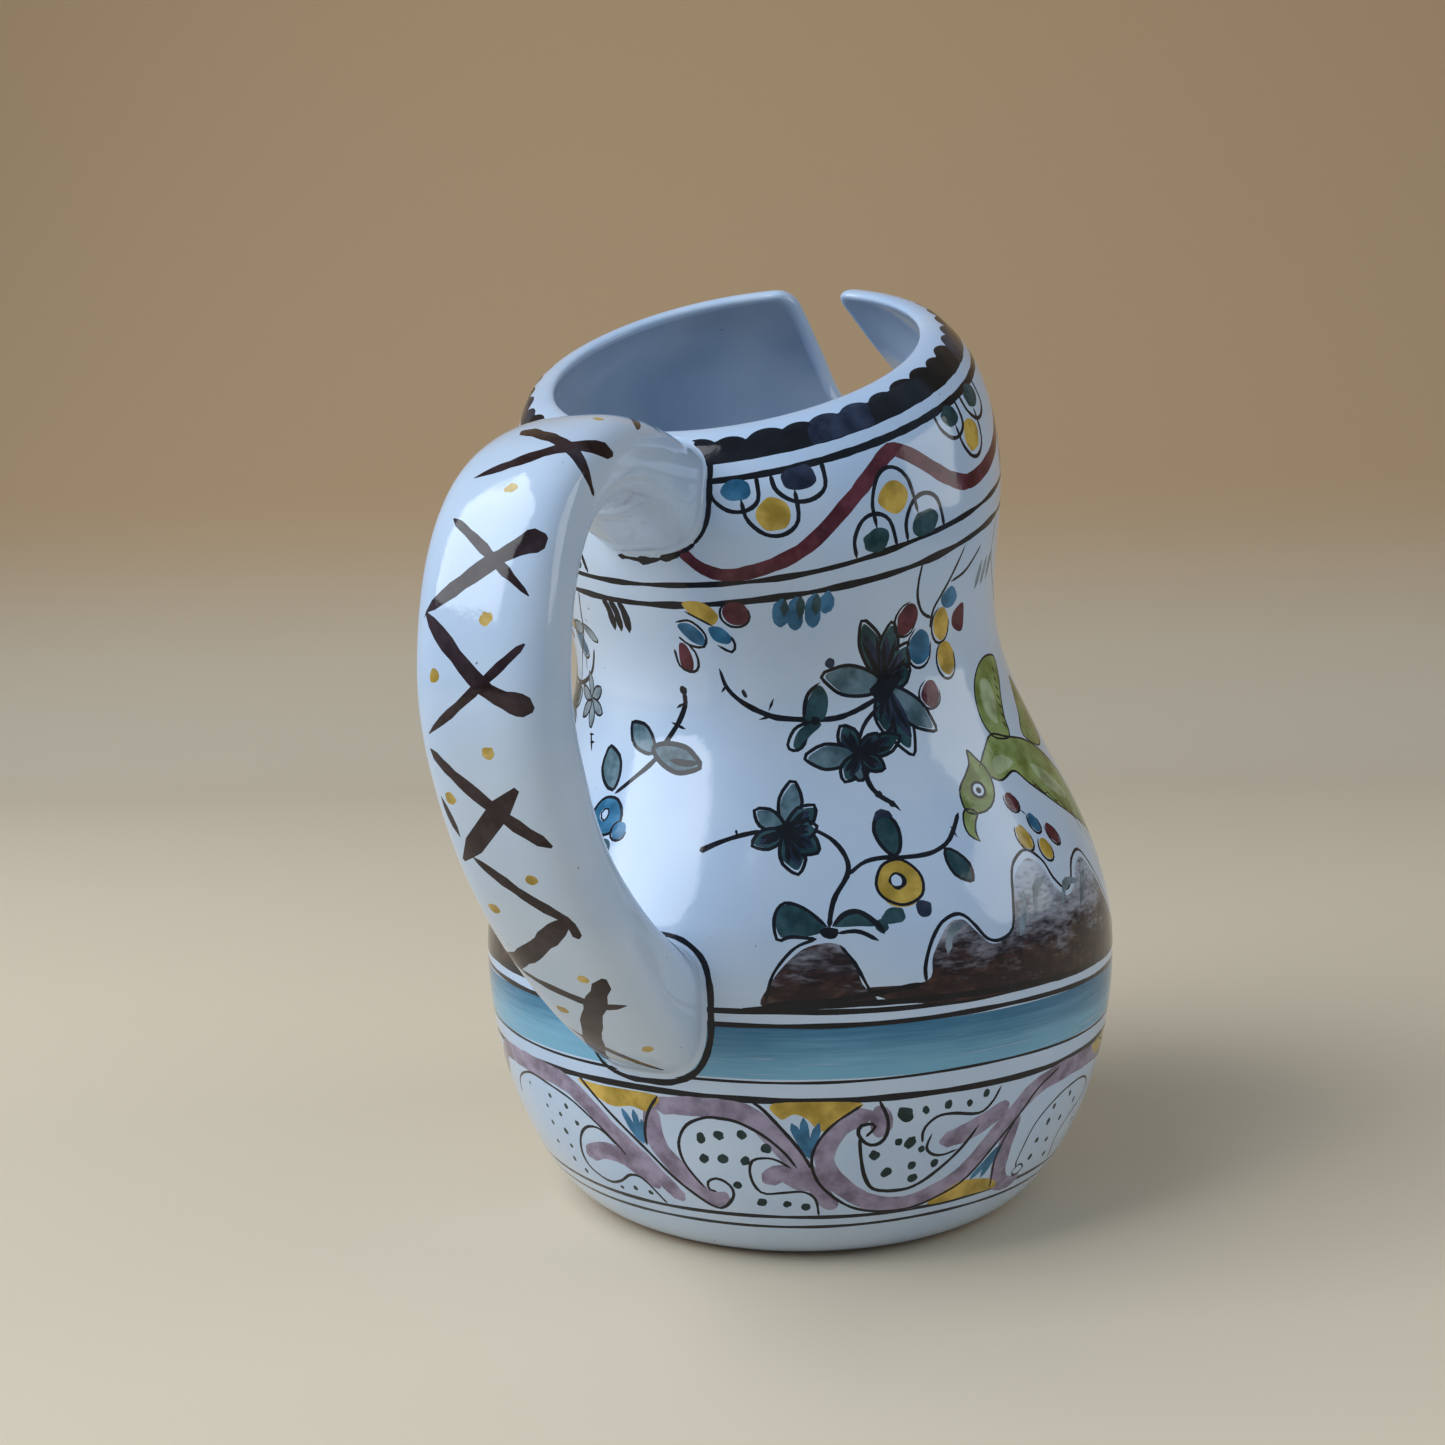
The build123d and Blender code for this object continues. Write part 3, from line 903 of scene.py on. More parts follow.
def paint_garden(sheet):
    """Everything between the collar and the ground line on the side of the main view."""
    # hanging from the double line
    for x in (196.0, 193.8, 191.2):
        sheet.line("ink", [(x, 133.6), (x - 0.6, 130), (x + 0.4, 125.2)], 1.7, (0.9, 0.5))
    sheet.blob("ochre", [(174, 134), (169.5, 134.2), (166.5, 131), (168.5, 128.5), (172, 130.5)])
    sheet.line("ink", [(174, 132), (171, 130), (168.3, 128.2)], 0.45)
    berry(sheet, "maroon", 162.5, 131, 4.6, 4.2, 10)
    sheet.blob("blue", [(177, 128.3), (174, 129), (171.4, 126.3), (171.8, 123.6), (174.8, 124.6)])
    sheet.line("ink", [(177.2, 129.2), (173.4, 129.6), (170.8, 126.2), (172, 123.2), (175.4, 123.6),
                       (177.6, 125.6)], 0.5)
    sheet.blob("blue", [(169.6, 127.8), (166.8, 128), (164.8, 125.4), (166, 123.8), (169, 124.8)])
    sheet.line("ink", [(168.6, 123.6), (165.6, 121.8), (164.4, 123.4), (164.8, 125.6)], 0.5)
    sheet.blob("maroon", [(178.2, 123.6), (179.2, 118.4), (176.6, 117.2), (175.6, 120), (176.4, 123.6)])
    sheet.line("ink", [(176, 124.2), (174.4, 121.4), (174.8, 118), (177, 117), (179.6, 118.4),
                       (179.8, 122.4)], 0.5)
    for a, foot in ((153.4, 126.8), (150.2, 125.6), (146.2, 125.6), (143.2, 128.4)):
        sheet.line("blue", [(a - 1.6, 133.4), (a - 0.6, 130), (a, foot)], 2.7, (0.7, 0.7), 0.1)
    for a, foot in ((152.2, 129), (148.8, 128), (145.2, 128.4)):
        sheet.line("leaf", [(a - 1.0, 133.2), (a, foot)], 1.5, (1, 0.3))
    # grey sprig left of the handle
    twig(sheet, [(205, 133), (209.5, 126.5), (213.5, 121), (221.5, 113.5), (226, 106)], 0.4)
    sheet.line("ink", [(216, 118), (219, 111)], 0.35)
    for toward, length in ((25, 6.0), (150, 5.2)):
        sheet.petal("grey", 212, 123.5, toward - 180, length, 2.6, pen=0.35)
    for toward in (95, 35, -20, -75, -130, 170):
        sheet.petal("grey", 216, 105.5, toward, 5.4, 2.3, pen=0.4)
    twig(sheet, [(213.5, 99), (210.5, 95.5)], 0.5, thorns=[((214, 98.4), (211.6, 98.8)),
                                                           ((212.6, 97), (210.4, 97.4))])
    # blue ring flower, its leaves and the twig above it
    sheet.spot("blue", 197, 84.4, 7.8, 7.4, 0, 0.05, 16)
    sheet.spot("glaze", 197.6, 84.6, 2.0, 2.3)
    sheet.line("ink", [(201.2, 84), (199.6, 87.6), (195.4, 88), (192.6, 84.6), (194.4, 81), (198.6, 80.6)],
            0.6, closed=True)
    sheet.line("ink", [(198.6, 84.8), (197.4, 86), (196.4, 84.6), (197.4, 83.2)], 0.4, closed=True)
    berry(sheet, "blue", 192, 82, 3.2, 3.4)
    berry(sheet, "wash", 194.6, 77.6, 3.6, 4.4)
    sheet.petal("wash", 198, 89.6, 120, 9.0, 5.2, pen=0.7)
    twig(sheet, [(197, 89), (192.5, 93), (188, 97), (185, 101.5), (182, 105.5), (180, 109.5), (180, 112.5)],
            1.0, thorns=[((184.2, 105.2), (180.2, 104)), ((182.6, 108.4), (180.4, 109.6))])
    sheet.spot("ink", 180, 112.6, 1.5, 1.5)
    sheet.petal("wash", 188.6, 98.4, 142, 7.8, 4.6, pen=0.7)
    sheet.petal("wash", 189, 99.4, -14, 10.4, 4.8, pen=0.95)
    sheet.line("ink", [(176.4, 97.2), (179.5, 97), (184, 97.4)], 1.2, (1, 0.3))
    # the branch across the neck
    twig(sheet, [(169.5, 118), (168.5, 113.5), (165, 110), (159, 107), (154.5, 106), (145, 105),
                 (139.5, 105.5), (132, 107.5)], 1.0, (0.6, 0.9),
         [((168.5, 114), (170, 112.4)), ((159, 108), (157.5, 110.6)), ((161.5, 106.2), (158, 107))])
    sheet.spot("navy", 164.4, 112, 0.8, 1.6, 20)
    sheet.blob("leaf", [(150.6, 105.5), (149.4, 109.5), (146.4, 112.4), (144.6, 109.4), (146.2, 105.2)])
    sheet.line("ink", [(151, 105.6), (150, 109.5), (148.5, 111.5), (146, 113)], 0.7, (1, 0.6))
    sheet.blob("leaf", [(148.5, 105), (152.4, 103.4), (154, 100.4), (152.4, 99.7), (150, 102), (147, 104)])
    sheet.line("ink", [(148.8, 105), (153, 104), (155.2, 101), (154.6, 99.6), (152.4, 99.7),
                       (150.6, 101.6)], 0.6)
    sheet.spot("ink", 148.2, 105, 1.7, 1.6)
    flower(sheet, 130, 109.5, [(104, 13.5, 4.2, "leaf"), (78, 11.5, 4.0, "leaf"), (160, 12.2, 5.4, "wash"),
                               (48, 8.6, 4.6, "leaf"), (20, 6.0, 4.0, "leaf"), (-78, 12.4, 5.0, "leaf"),
                               (-48, 12.6, 4.4, "wash"), (-100, 8.0, 4.0, "leaf")], heart=5.0)
    sheet.spot("navy", 143.2, 116.8, 1.9, 1.8)
    twig(sheet, [(132, 106), (136.5, 103), (139, 99.6)], 0.75)
    flower(sheet, 139.4, 97.2, [(112, 6.2, 3.8, "leaf"), (12, 8.6, 3.8, "leaf"), (34, 5.4, 2.8, "leaf"),
                                (176, 9.6, 4.6, "wash"), (-128, 5.6, 3.4, "leaf"), (-98, 4.8, 3.0, "wash"),
                                (-40, 5.2, 3.0, "leaf")], heart=2.6)
    twig(sheet, [(139, 95.6), (138.5, 91.5), (137, 89), (134.5, 87), (133.3, 85.4)], 0.95, (1.2, 0.4))
    sheet.spot("ink", 137, 89.2, 1.4, 1.3)
    sheet.spot("ink", 134.6, 87, 1.2, 1.2)
    # berries on tendrils at the right
    for points in ([(118, 133.4), (119.3, 129.5), (119.5, 126), (118, 122.5), (115, 120.5)],
                   [(103, 132.5), (109.5, 126.5), (112.5, 124), (114.5, 122), (115.5, 118.5)],
                   [(95, 130), (102.5, 127), (108.5, 126.4)]):
        twig(sheet, points, 0.6)
    sheet.blob("blue", [(108, 125.4), (105.6, 122.6), (107.6, 121), (110.6, 121.6), (111.8, 124)])
    berry(sheet, "maroon", 122.6, 122.2, 4.4, 5.4, -28)
    berry(sheet, "ochre", 111.6, 118.4, 4.2, 5.8)
    sheet.blob("maroon", [(102.6, 120.4), (102.6, 115.6), (104.6, 115), (107.4, 117), (106.8, 119.6)])
    berry(sheet, "blue", 118.8, 115.4, 5.0, 6.4)
    berry(sheet, "ochre", 110.2, 111, 4.4, 6.4, 8)
    berry(sheet, "maroon", 117.4, 105.4, 4.4, 4.6, 0)
    for a in (97, 93.5, 90):
        sheet.line("grey", [(a - 3.5, 126.5), (a, 121.5)], 1.6, (0.8, 0.4))
    twig(sheet, [(84, 133), (86, 126), (81, 119), (75, 113)], 0.4)
    bird(sheet, 0.0, 1)
    # fruit under the bird
    berry(sheet, "maroon", 106, 82, 3.0, 3.8, 25)
    sheet.line("ink", [(105, 80.4), (103.4, 78.8)], 0.35)
    berry(sheet, "blue", 102.4, 77.2, 2.8, 3.8, 15)
    berry(sheet, "ochre", 107.4, 75.4, 3.4, 4.8, 15)
    berry(sheet, "maroon", 98, 74.2, 3.0, 4.4, 25)
    berry(sheet, "ochre", 102.6, 72.2, 3.4, 4.2, 10)
    # flowers over the left mound
    flower(sheet, 156.6, 83.6, [(80, 9.6, 4.2, "wash"), (142, 7.0, 3.6, "wash"), (40, 7.0, 3.8, "leaf"),
                                (-158, 6.2, 3.8, "leaf"), (-78, 8.4, 4.0, "leaf"), (-38, 6.6, 4.4, "leaf"),
                                (6, 5.4, 3.6, "leaf")], heart=3.4)
    twig(sheet, [(161, 84), (165.5, 83), (169.5, 81.5), (173, 79.6)], 0.95, (0.7, 1.3),
         [((166, 82.8), (166.4, 84.2))])
    twig(sheet, [(151.5, 84), (148, 81.5), (146, 78), (146, 74.5), (148.5, 70), (149.5, 66.5), (150, 62.5)],
            0.9)
    twig(sheet, [(146.2, 74), (143, 76.4), (139.5, 77), (135.5, 76.6), (131.5, 76.5), (128.5, 77),
                 (125.2, 78.6), (121, 83)], 0.85, (0.8, 1.0), [((124, 81), (123.4, 78.6))])
    sheet.petal("leaf", 136.8, 77, 96, 8.4, 4.6, pen=0.7)
    sheet.line("navy", [(139.2, 84.6), (137.2, 85.6), (135.4, 84.6)], 1.4)
    sheet.spot("ochre", 137.3, 71.5, 8.0, 8.8, 0, 0.04, 16)
    sheet.line("ink", [(141.4, 72), (139.6, 75.6), (136, 76.2), (133.2, 72.8), (133.8, 68.6), (137.4, 66.8),
            (140.6, 68.8)], 0.55, closed=True)
    sheet.spot("ink", 137.6, 72, 3.0, 3.2)
    sheet.spot("glaze", 137.7, 72.1, 1.9, 2.1)
    sheet.petal("leaf", 126.8, 77, -66, 7.4, 3.8, pen=0.6)
    sheet.spot("leaf", 139.4, 64.6, 4.2, 3.0, 10)
    sheet.spot("navy", 134, 65.6, 3.0, 3.0)
    sheet.spot("leaf", 141.6, 62.6, 2.4, 2.0)
    sheet.blob("leaf", [(150.4, 62.4), (153.5, 66.6), (157, 68.2), (158.4, 65.2), (157.6, 61), (153.6, 61)])
    sheet.line("ink", [(150.2, 62.6), (153.5, 67), (157, 68.6), (158.6, 65.5), (158.2, 60.6), (156, 61),
            (152, 60.6)], 0.6)
    sheet.blob("leaf", [(149.4, 62.8), (147.4, 65.2), (144.8, 65.6), (142.4, 62.6), (145.4, 62.6)])
    sheet.line("ink", [(149.5, 62.8), (147.5, 65.5), (145, 66), (142.5, 63.2), (141.3, 61)], 0.95, (0.7, 1))
    sheet.line("ink", [(149, 61.4), (145.5, 61.6), (142.3, 60)], 0.7, (0.7, 1))
    sheet.spot("ink", 150, 61.6, 3.2, 2.0)
    mounds(sheet, 0.0)


def mounds(sheet, turn):
    """Dry-brushed hills on the ground line, with their loose outlines."""
    def at(points):
        return [(a + turn, h) for a, h in points]
    sheet.blob("earth", at([(160.2, 49.6), (159.2, 53.5), (156.6, 57), (153.4, 59.4), (149, 59.8),
                            (146.4, 57), (145.2, 53.2), (143, 50), (150, 49.4)]))
    sheet.blob("earth", at([(144.6, 52.4), (135, 52.9), (133.6, 57), (130.6, 61.4), (127.8, 62.2),
                            (125.4, 60), (122.6, 57.6), (119, 58.6), (117, 62.5), (115, 67.8),
                            (112.4, 70.6), (108.8, 71.6), (106.2, 69), (104.8, 65), (101.8, 62.6),
                            (98, 64.2), (95, 67.2), (91, 68), (87.6, 64.6), (84.5, 60), (80.5, 55.6),
                            (76.5, 52.2), (73.5, 49.3), (104, 49.2), (135, 49.2)]))
    sheet.line("ink", at([(152, 60.6), (155, 59.5), (157.2, 57.4), (159, 54.5), (160, 50.4)]), 0.55)
    sheet.line("ink", at([(148.5, 59.6), (146.5, 57), (145, 54), (143.6, 51)]), 0.6, shake=0.3)
    sheet.line("ink", at([(160.6, 49.7), (156, 50.4), (150, 50.6), (143, 51.6), (135.4, 52.6)]), 1.0,
               (0.8, 0.8), 0.2)
    sheet.line("ink", at([(135, 52.6), (135, 55.5), (133.5, 59.5), (131, 62.5), (128, 63.5), (125.5, 61),
            (123.5, 58.6), (121, 58), (118, 59.5), (116.5, 64.5), (114.5, 70), (112, 72.4), (108.5, 73.2),
            (105.4, 70.4), (104.3, 66.8), (101.8, 64), (99, 65), (95.5, 68.5), (90.5, 69.4), (87, 65.6),
            (83.6, 60.4), (79, 55), (74, 50.6)]), 0.6, (1.2, 0.5))
    sheet.line("ink", at([(163.5, 49.4), (143, 50), (120, 49.8), (103, 49.2), (84, 49.2)]), 1.1, (0.6, 0.6),
            0.15)
    for points in ([(112, 62), (110, 66), (106.5, 67.5)], [(104, 61.5), (101, 65), (96, 64.5)], [(131, 57),
            (130, 60.5), (127.4, 61.6)], [(98, 60), (94.5, 64), (91.5, 66)], [(116.5, 58), (114.6, 62.5),
            (113.4, 66)]):
        sheet.line("grey", at(points), 1.5, (0.7, 0.3), 0.3)


def bird(sheet, turn, way):
    """A long-beaked bird with raised wings. Way is 1 when it faces the handle, -1 when it faces away."""
    def at(points):
        return [(turn + way * a, h) for a, h in points]
    wing = [(86, 105.5), (93, 107), (98.5, 105.6), (101.8, 102.4), (103, 98), (102.4, 95), (100.5, 93),
            (94.5, 92), (92.6, 95.5), (89.6, 99), (86.4, 102)]
    far = [(76.5, 99.5), (79.6, 97), (83, 94), (87.4, 90.6), (80, 87), (72, 88.6), (70, 92.6), (72.6, 96.4)]
    body = [(110.4, 89.6), (106.6, 92), (102, 94), (96.5, 92.4), (88.5, 90), (81.5, 86.4), (75, 81),
            (70.5, 74.5), (69, 68), (73.6, 69), (80, 72.4), (86.4, 76), (91.5, 79.4), (96.8, 83.6),
            (100, 86.6), (105.5, 86), (108.4, 87.2)]
    head = [(112, 93.2), (110.6, 91.6), (108.6, 88.4), (109.4, 84.8), (112.4, 82.4), (116.4, 81.9),
            (119, 83), (118.4, 86.8), (114.8, 89.4), (112.8, 91)]
    beak = [(119.2, 83.2), (120.7, 81), (120.6, 78.6), (118.6, 76.9), (118.9, 78.6), (117.9, 80.6),
            (116.4, 82.2)]
    for shape in (far, wing, body, head, beak):
        sheet.blob("olive", at(shape))
    sheet.blob("pale_olive", at([(97.4, 103.6), (99.6, 101.4), (100, 97.6), (97.6, 95), (95.4, 96.6),
                                 (93.4, 99.6), (94, 102.6)]))
    sheet.blob("pale_olive", at([(105.4, 89.8), (101.6, 90), (98.6, 88), (102.4, 87.2), (106, 87.4)]))
    sheet.blob("pale_olive", at([(92, 86), (86, 83.4), (80.4, 78.6), (83.4, 77.6), (90, 81.6)]))
    for shape in (wing, far, head, beak):
        sheet.line("ink", at(shape), 0.4, closed=True, steps=5)
    sheet.line("ink", at(body[:9]), 0.42)
    sheet.line("ink", at(body[9:]), 0.5)
    for i in range(7):
        t = i / 6
        sheet.line("ink", at([(93.6 - 5.2 * t, 93.4 + 9.6 * t), (94.8 - 5.4 * t, 95 + 9.2 * t)]), 0.5,
                   (1, 0.3))
        sheet.line("ink", at([(99 - 22 * t, 86 - 14.4 * t), (96.2 - 21 * t, 83 - 13.8 * t),
                              (94 - 19 * t, 82.6 - 13 * t)]), 0.35, (1, 0.3))
    for i in range(3):
        sheet.line("ink", at([(84 - 3.2 * i, 76 - 2.4 * i), (82.4 - 3.0 * i, 70.4 - 1.8 * i)]), 0.35,
                   (1, 0.3))
    a, h = turn + way * 113.6, 85.9
    sheet.spot("ink", a, h, 3.7, 3.5, 0, 0.03)
    sheet.spot("glaze", a, h, 2.5, 2.3, 0, 0.03)
    sheet.spot("ink", a, h - 0.1, 1.2, 1.2, 0, 0.03)


def paint_far_side(sheet):
    """The side away from the main view: two more birds, three more sets of hills, and flowers and berries."""
    bird(sheet, 12.0, -1)
    bird(sheet, -62.0, 1)
    mounds(sheet, -176.0)
    mounds(sheet, -262.0)
    mounds(sheet, -88.0)
    twig(sheet, [(-150, 118), (-144, 111), (-134, 107), (-122, 108), (-110, 113)], 0.9, (0.6, 0.9),
         [((-144, 111), (-146, 113)), ((-134, 107), (-133, 110))])
    flower(sheet, -126, 101, [(90, 10, 4.2, "leaf"), (150, 9, 4.4, "wash"), (30, 9, 4.4, "leaf"),
                              (-30, 8, 4.0, "wash"), (-90, 9, 4.2, "leaf"), (-150, 8, 4.0, "leaf")],
           heart=3.6)
    twig(sheet, [(-128, 96), (-132, 88), (-140, 80), (-150, 76)], 0.85)
    flower(sheet, -152, 76, [(70, 8, 3.8, "leaf"), (140, 7, 3.6, "wash"), (0, 7, 3.6, "leaf"),
                             (-70, 8, 3.8, "leaf"), (-140, 7, 3.6, "wash")])
    for a, h, paint in ((-140, 124, "ochre"), (-133, 120, "maroon"), (-143, 118, "blue"),
                        (-20, 112, "maroon"), (-12, 108, "ochre"), (18, 118, "blue"), (24, 113, "maroon"),
                        (30, 119, "ochre"), (58, 116, "maroon"), (50, 112, "ochre"), (-106, 88, "maroon"),
                        (-100, 84, "ochre"), (-104, 79, "blue"), (40, 84, "ochre"), (46, 79, "maroon")):
        berry(sheet, paint, a, h, 4.2, 5.2, sheet.chance.uniform(-20, 20))
    for a in (-118, -88, -30, 36):
        for k in (-3.2, 0, 3.2):
            sheet.line("blue", [(a + k * 0.7, 133.2), (a + k, 129.5), (a + k * 1.2, 126.4)], 2.3, (0.7, 0.7))
    twig(sheet, [(52, 72), (44, 78), (34, 76), (26, 70), (20, 62)], 0.85)
    sheet.spot("ochre", 32, 69.5, 8.0, 8.4, 0, 0.04, 16)
    sheet.line("ink", [(36, 69.5), (32, 74), (28, 69.5), (32, 65)], 0.55, closed=True)
    sheet.spot("ink", 32, 69.8, 3.0, 3.0)
    sheet.spot("glaze", 32, 69.8, 1.9, 1.9)
    sheet.petal("leaf", 20, 62, 60, 9, 4.4)
    sheet.petal("leaf", 20, 62, 130, 9, 4.4)
    twig(sheet, [(4, 100), (0, 92), (-8, 84), (-10, 76)], 0.85,
         thorns=[((0, 92), (3, 93)), ((-6, 86), (-4, 87))])
    flower(sheet, 4, 102, [(90, 9, 4, "leaf"), (160, 8, 4, "wash"), (20, 8, 4, "leaf"), (-50, 8, 4, "leaf"),
            (-130, 8, 4, "wash")])
    for a, h, size in ((-78, 112, 0.95), (-46, 104, 0.8), (44, 106, 0.9), (-92, 98, 0.7)):
        flower(sheet, a, h, [(90 + 60 * i + sheet.chance.uniform(-8, 8), 8.5, 4.0,
                "wash" if i % 2 else "leaf") for i in range(6)], size=size, heart=3.0)
        twig(sheet, [(a, h - 5), (a - 4, h - 11), (a - 3, h - 17)], 0.8,
             thorns=[((a - 4, h - 11), (a - 6, h - 10))])
        sheet.petal("leaf", a - 3, h - 16, -30, 7, 3.6)
    for a, h in ((-85, 125), (-6, 124), (62, 126)):
        twig(sheet, [(a - 4, 133), (a - 1, h + 3), (a + 3, h - 1)], 0.6)
        berry(sheet, "maroon", a - 4, h - 1, 4.2, 4.8, -15)
        berry(sheet, "blue", a + 2, h - 6, 4.4, 5.6)
        berry(sheet, "ochre", a + 6, h - 1, 4.2, 5.0, 12)
    sheet.petal("leaf", -10, 76, -60, 8, 4.2)
    sheet.petal("wash", -10, 76, -130, 8, 4.2)


def paint_frieze(sheet, turn):
    """Half of the scrolls round the foot: purple washes, ochre and blue fillings, then pen lines and dots."""
    def at(points):
        return [(a + turn, h) for a, h in points]
    wide = 3.8
    for points in ([(226, 27), (222, 31.5), (217.5, 32.3), (207, 32.4), (198.5, 31.6), (193.5, 28.8),
                    (189, 24.6), (183.5, 20), (179.5, 15.5), (177, 12.4)],
                   [(197.5, 17.4), (193, 19.5), (188.5, 19.6), (184.5, 17.4), (181.5, 14.2)],
                   [(179.4, 31), (173.5, 31.7), (168, 31.7), (164.5, 31.3), (161.3, 29.4), (158.3, 25.6),
                    (155.4, 22), (153, 18.6), (151, 15), (149, 12.4)],
                   [(179.6, 31), (180, 26.5), (179.4, 23.2), (177.3, 20.2), (175.3, 17.6), (173, 14.9),
                    (170, 13.6), (168.3, 15.4)], [(161.4, 18), (158.5, 20), (156.3, 19.2), (153.4, 16.6)],
                   [(142.8, 32.2), (141.9, 29), (142.4, 26.4)],
                   [(143.5, 31.2), (148, 29), (150.3, 26), (151.1, 22.6), (149.6, 19), (146, 15.4),
                    (141, 12.8), (134.5, 12.5), (128.5, 14.8), (124.5, 17.4), (120.8, 22), (116.5, 26.5),
                    (112, 30), (104.5, 31.4), (90, 31), (76, 28), (66, 24)],
                   [(131.4, 24), (126.5, 25), (122, 26.8), (118, 28.8)],
                   [(66, 24), (62, 19.5), (57.5, 15.4), (52, 13.2), (47.6, 14.8), (46, 18.6), (48.6, 21.6)],
                   [(60, 31.6), (55, 30), (50.6, 26.6), (46.4, 27.6), (43.6, 31)],
                   [(115, 26), (116, 24), (116.6, 20), (116.4, 16), (115, 12.6), (111.5, 11), (108.4, 12)]):
        sheet.line("scroll", at(points), wide, (0.85, 0.8), 0.06)
    for points in ([(194.6, 33), (190, 33), (178.4, 33), (180.5, 29.8), (183.5, 30.2), (188.3, 29.6)],
                   [(159, 33.2), (145.4, 33), (149, 30), (151.6, 28), (154, 30.4), (156, 31.2),
                    (158, 30.3)], [(131, 11.2), (122, 11.2), (115, 11.2), (117.4, 13.6), (124, 15),
                                   (127, 14.2)], [(92, 33), (82, 33), (84, 30.4), (88, 30)],
                   [(72, 11.4), (62, 11.4), (64.6, 14.4), (68.6, 15)],
                   [(66, 33), (56, 33), (58, 30.6), (62, 29.6)]):
        sheet.blob("ochre", at(points))
    for points in ([(185.6, 29.4), (184, 26), (182.2, 23.2)], [(183.3, 29.6), (182.8, 26), (181.9, 23.4)],
                   [(182, 28), (181.7, 25)], [(156.4, 29.6), (155, 26.4), (153.6, 23)],
                   [(154.5, 30.6), (154.2, 27), (153.4, 23)], [(152, 29.6), (152.8, 26.6), (153.4, 23.2)],
                   [(123, 14.8), (120.5, 17.6), (117.4, 21)], [(120.4, 14.6), (119.6, 17), (117.4, 20.6)]):
        sheet.line("blue", at(points), 1.5, (0.7, 0.5), 0.1)
    ink_lines = ((0.65, [(194.5, 34), (189, 28.6), (182.5, 22.5), (177.5, 17), (173.5, 13.6), (171, 12),
            (169, 12.2), (167, 14.8), (167.4, 17), (169.5, 18.2), (171.3, 17.3), (171.3, 15.8), (170,
            15.4)]), (0.5, [(218, 24), (216, 27.6), (211.5, 30), (207, 30.4), (198, 28.6), (192, 25),
            (188.5, 22), (187, 20)]), (0.6, [(188, 21.2), (191, 23.8), (193.5, 24.2), (196, 23), (198,
            20.4), (199, 17), (198, 14.4), (194, 12.8), (190.5, 13.8), (187.5, 15.8), (185, 15.8), (183,
            13.8), (181, 11)]), (0.6, [(172, 15.8), (174.2, 19), (175.4, 21.8), (175.4, 25), (173.6, 28.2),
            (170.4, 29.9), (168, 30), (165, 29.5), (161.2, 27.4), (157.8, 24.2), (155.6, 21)]), (0.6,
            [(178.2, 33), (180.4, 29.6), (181.6, 26), (181.8, 23)]), (0.55, [(156.6, 21), (159, 22.6), (161,
            22.9), (163, 22.3), (163.6, 20), (163, 17.3), (161.4, 15.7), (158, 16), (154.6, 16.2), (152.5,
            14.6), (151.8, 11)]), (0.65, [(163, 33.6), (161, 32.2), (158, 28.6), (155, 24.4), (153.2,
            20.8)]), (0.7, [(142.6, 33.4), (141, 29.8), (141, 26.8), (142.2, 25.2), (144, 25.2), (145.6,
            27), (145.4, 28.7), (143.5, 29), (143, 28.3), (144.4, 26.7)]), (0.6, [(145.2, 32.6), (149.6,
            29.4), (152.2, 26), (153.2, 22.5), (152.4, 18.8), (150, 15.6), (146, 12.6), (141, 11.2), (134.5,
            11.1), (128.5, 13), (124, 15.5), (119, 21.5), (115, 25.8), (111, 30), (105.5, 32.6)]), (0.75,
            [(145.5, 27), (145, 22.5), (144, 18.5), (142, 16), (137, 15.4), (133.5, 16.5), (129.5, 19.5),
            (126.5, 22.5), (124, 26)]), (0.6, [(120.4, 32.6), (122, 29.8), (124.5, 28.3), (129.5, 29.2),
            (132.5, 29), (134.6, 27), (134.6, 24.5)]), (0.55, [(133, 26), (133.7, 23.5), (132.6, 22),
            (130.5, 21.4), (127.5, 22)]), (0.5, [(115, 26), (117.2, 22), (118.2, 17.5), (116.6, 11.4)]),
            (0.45, [(110.6, 14), (111.4, 16), (109.5, 22.6), (103.5, 26.6), (96, 27.6), (91, 26), (90, 23),
            (95, 20.6), (98.5, 17), (97, 11.6)]), (0.45, [(111.6, 13.4), (110, 14.6), (108.2, 13.4), (110,
            12.2), (111.6, 13.4)]), (0.5, [(88, 33), (80, 30.4), (72, 26.4), (66, 21), (62, 15), (58,
            11.4)]))
    ink_lines += ((0.55, [(68, 26.4), (63, 23.6), (59, 19.4), (54, 16), (50, 16.4), (49.4, 19.6),
                          (51.6, 20.6)]), (0.5, [(61, 29.4), (55, 28), (51, 24.6), (46, 25.6), (42, 29)]))
    for width, points in ink_lines:
        sheet.line("ink", at(points), width, (0.8, 0.8), 0.14)
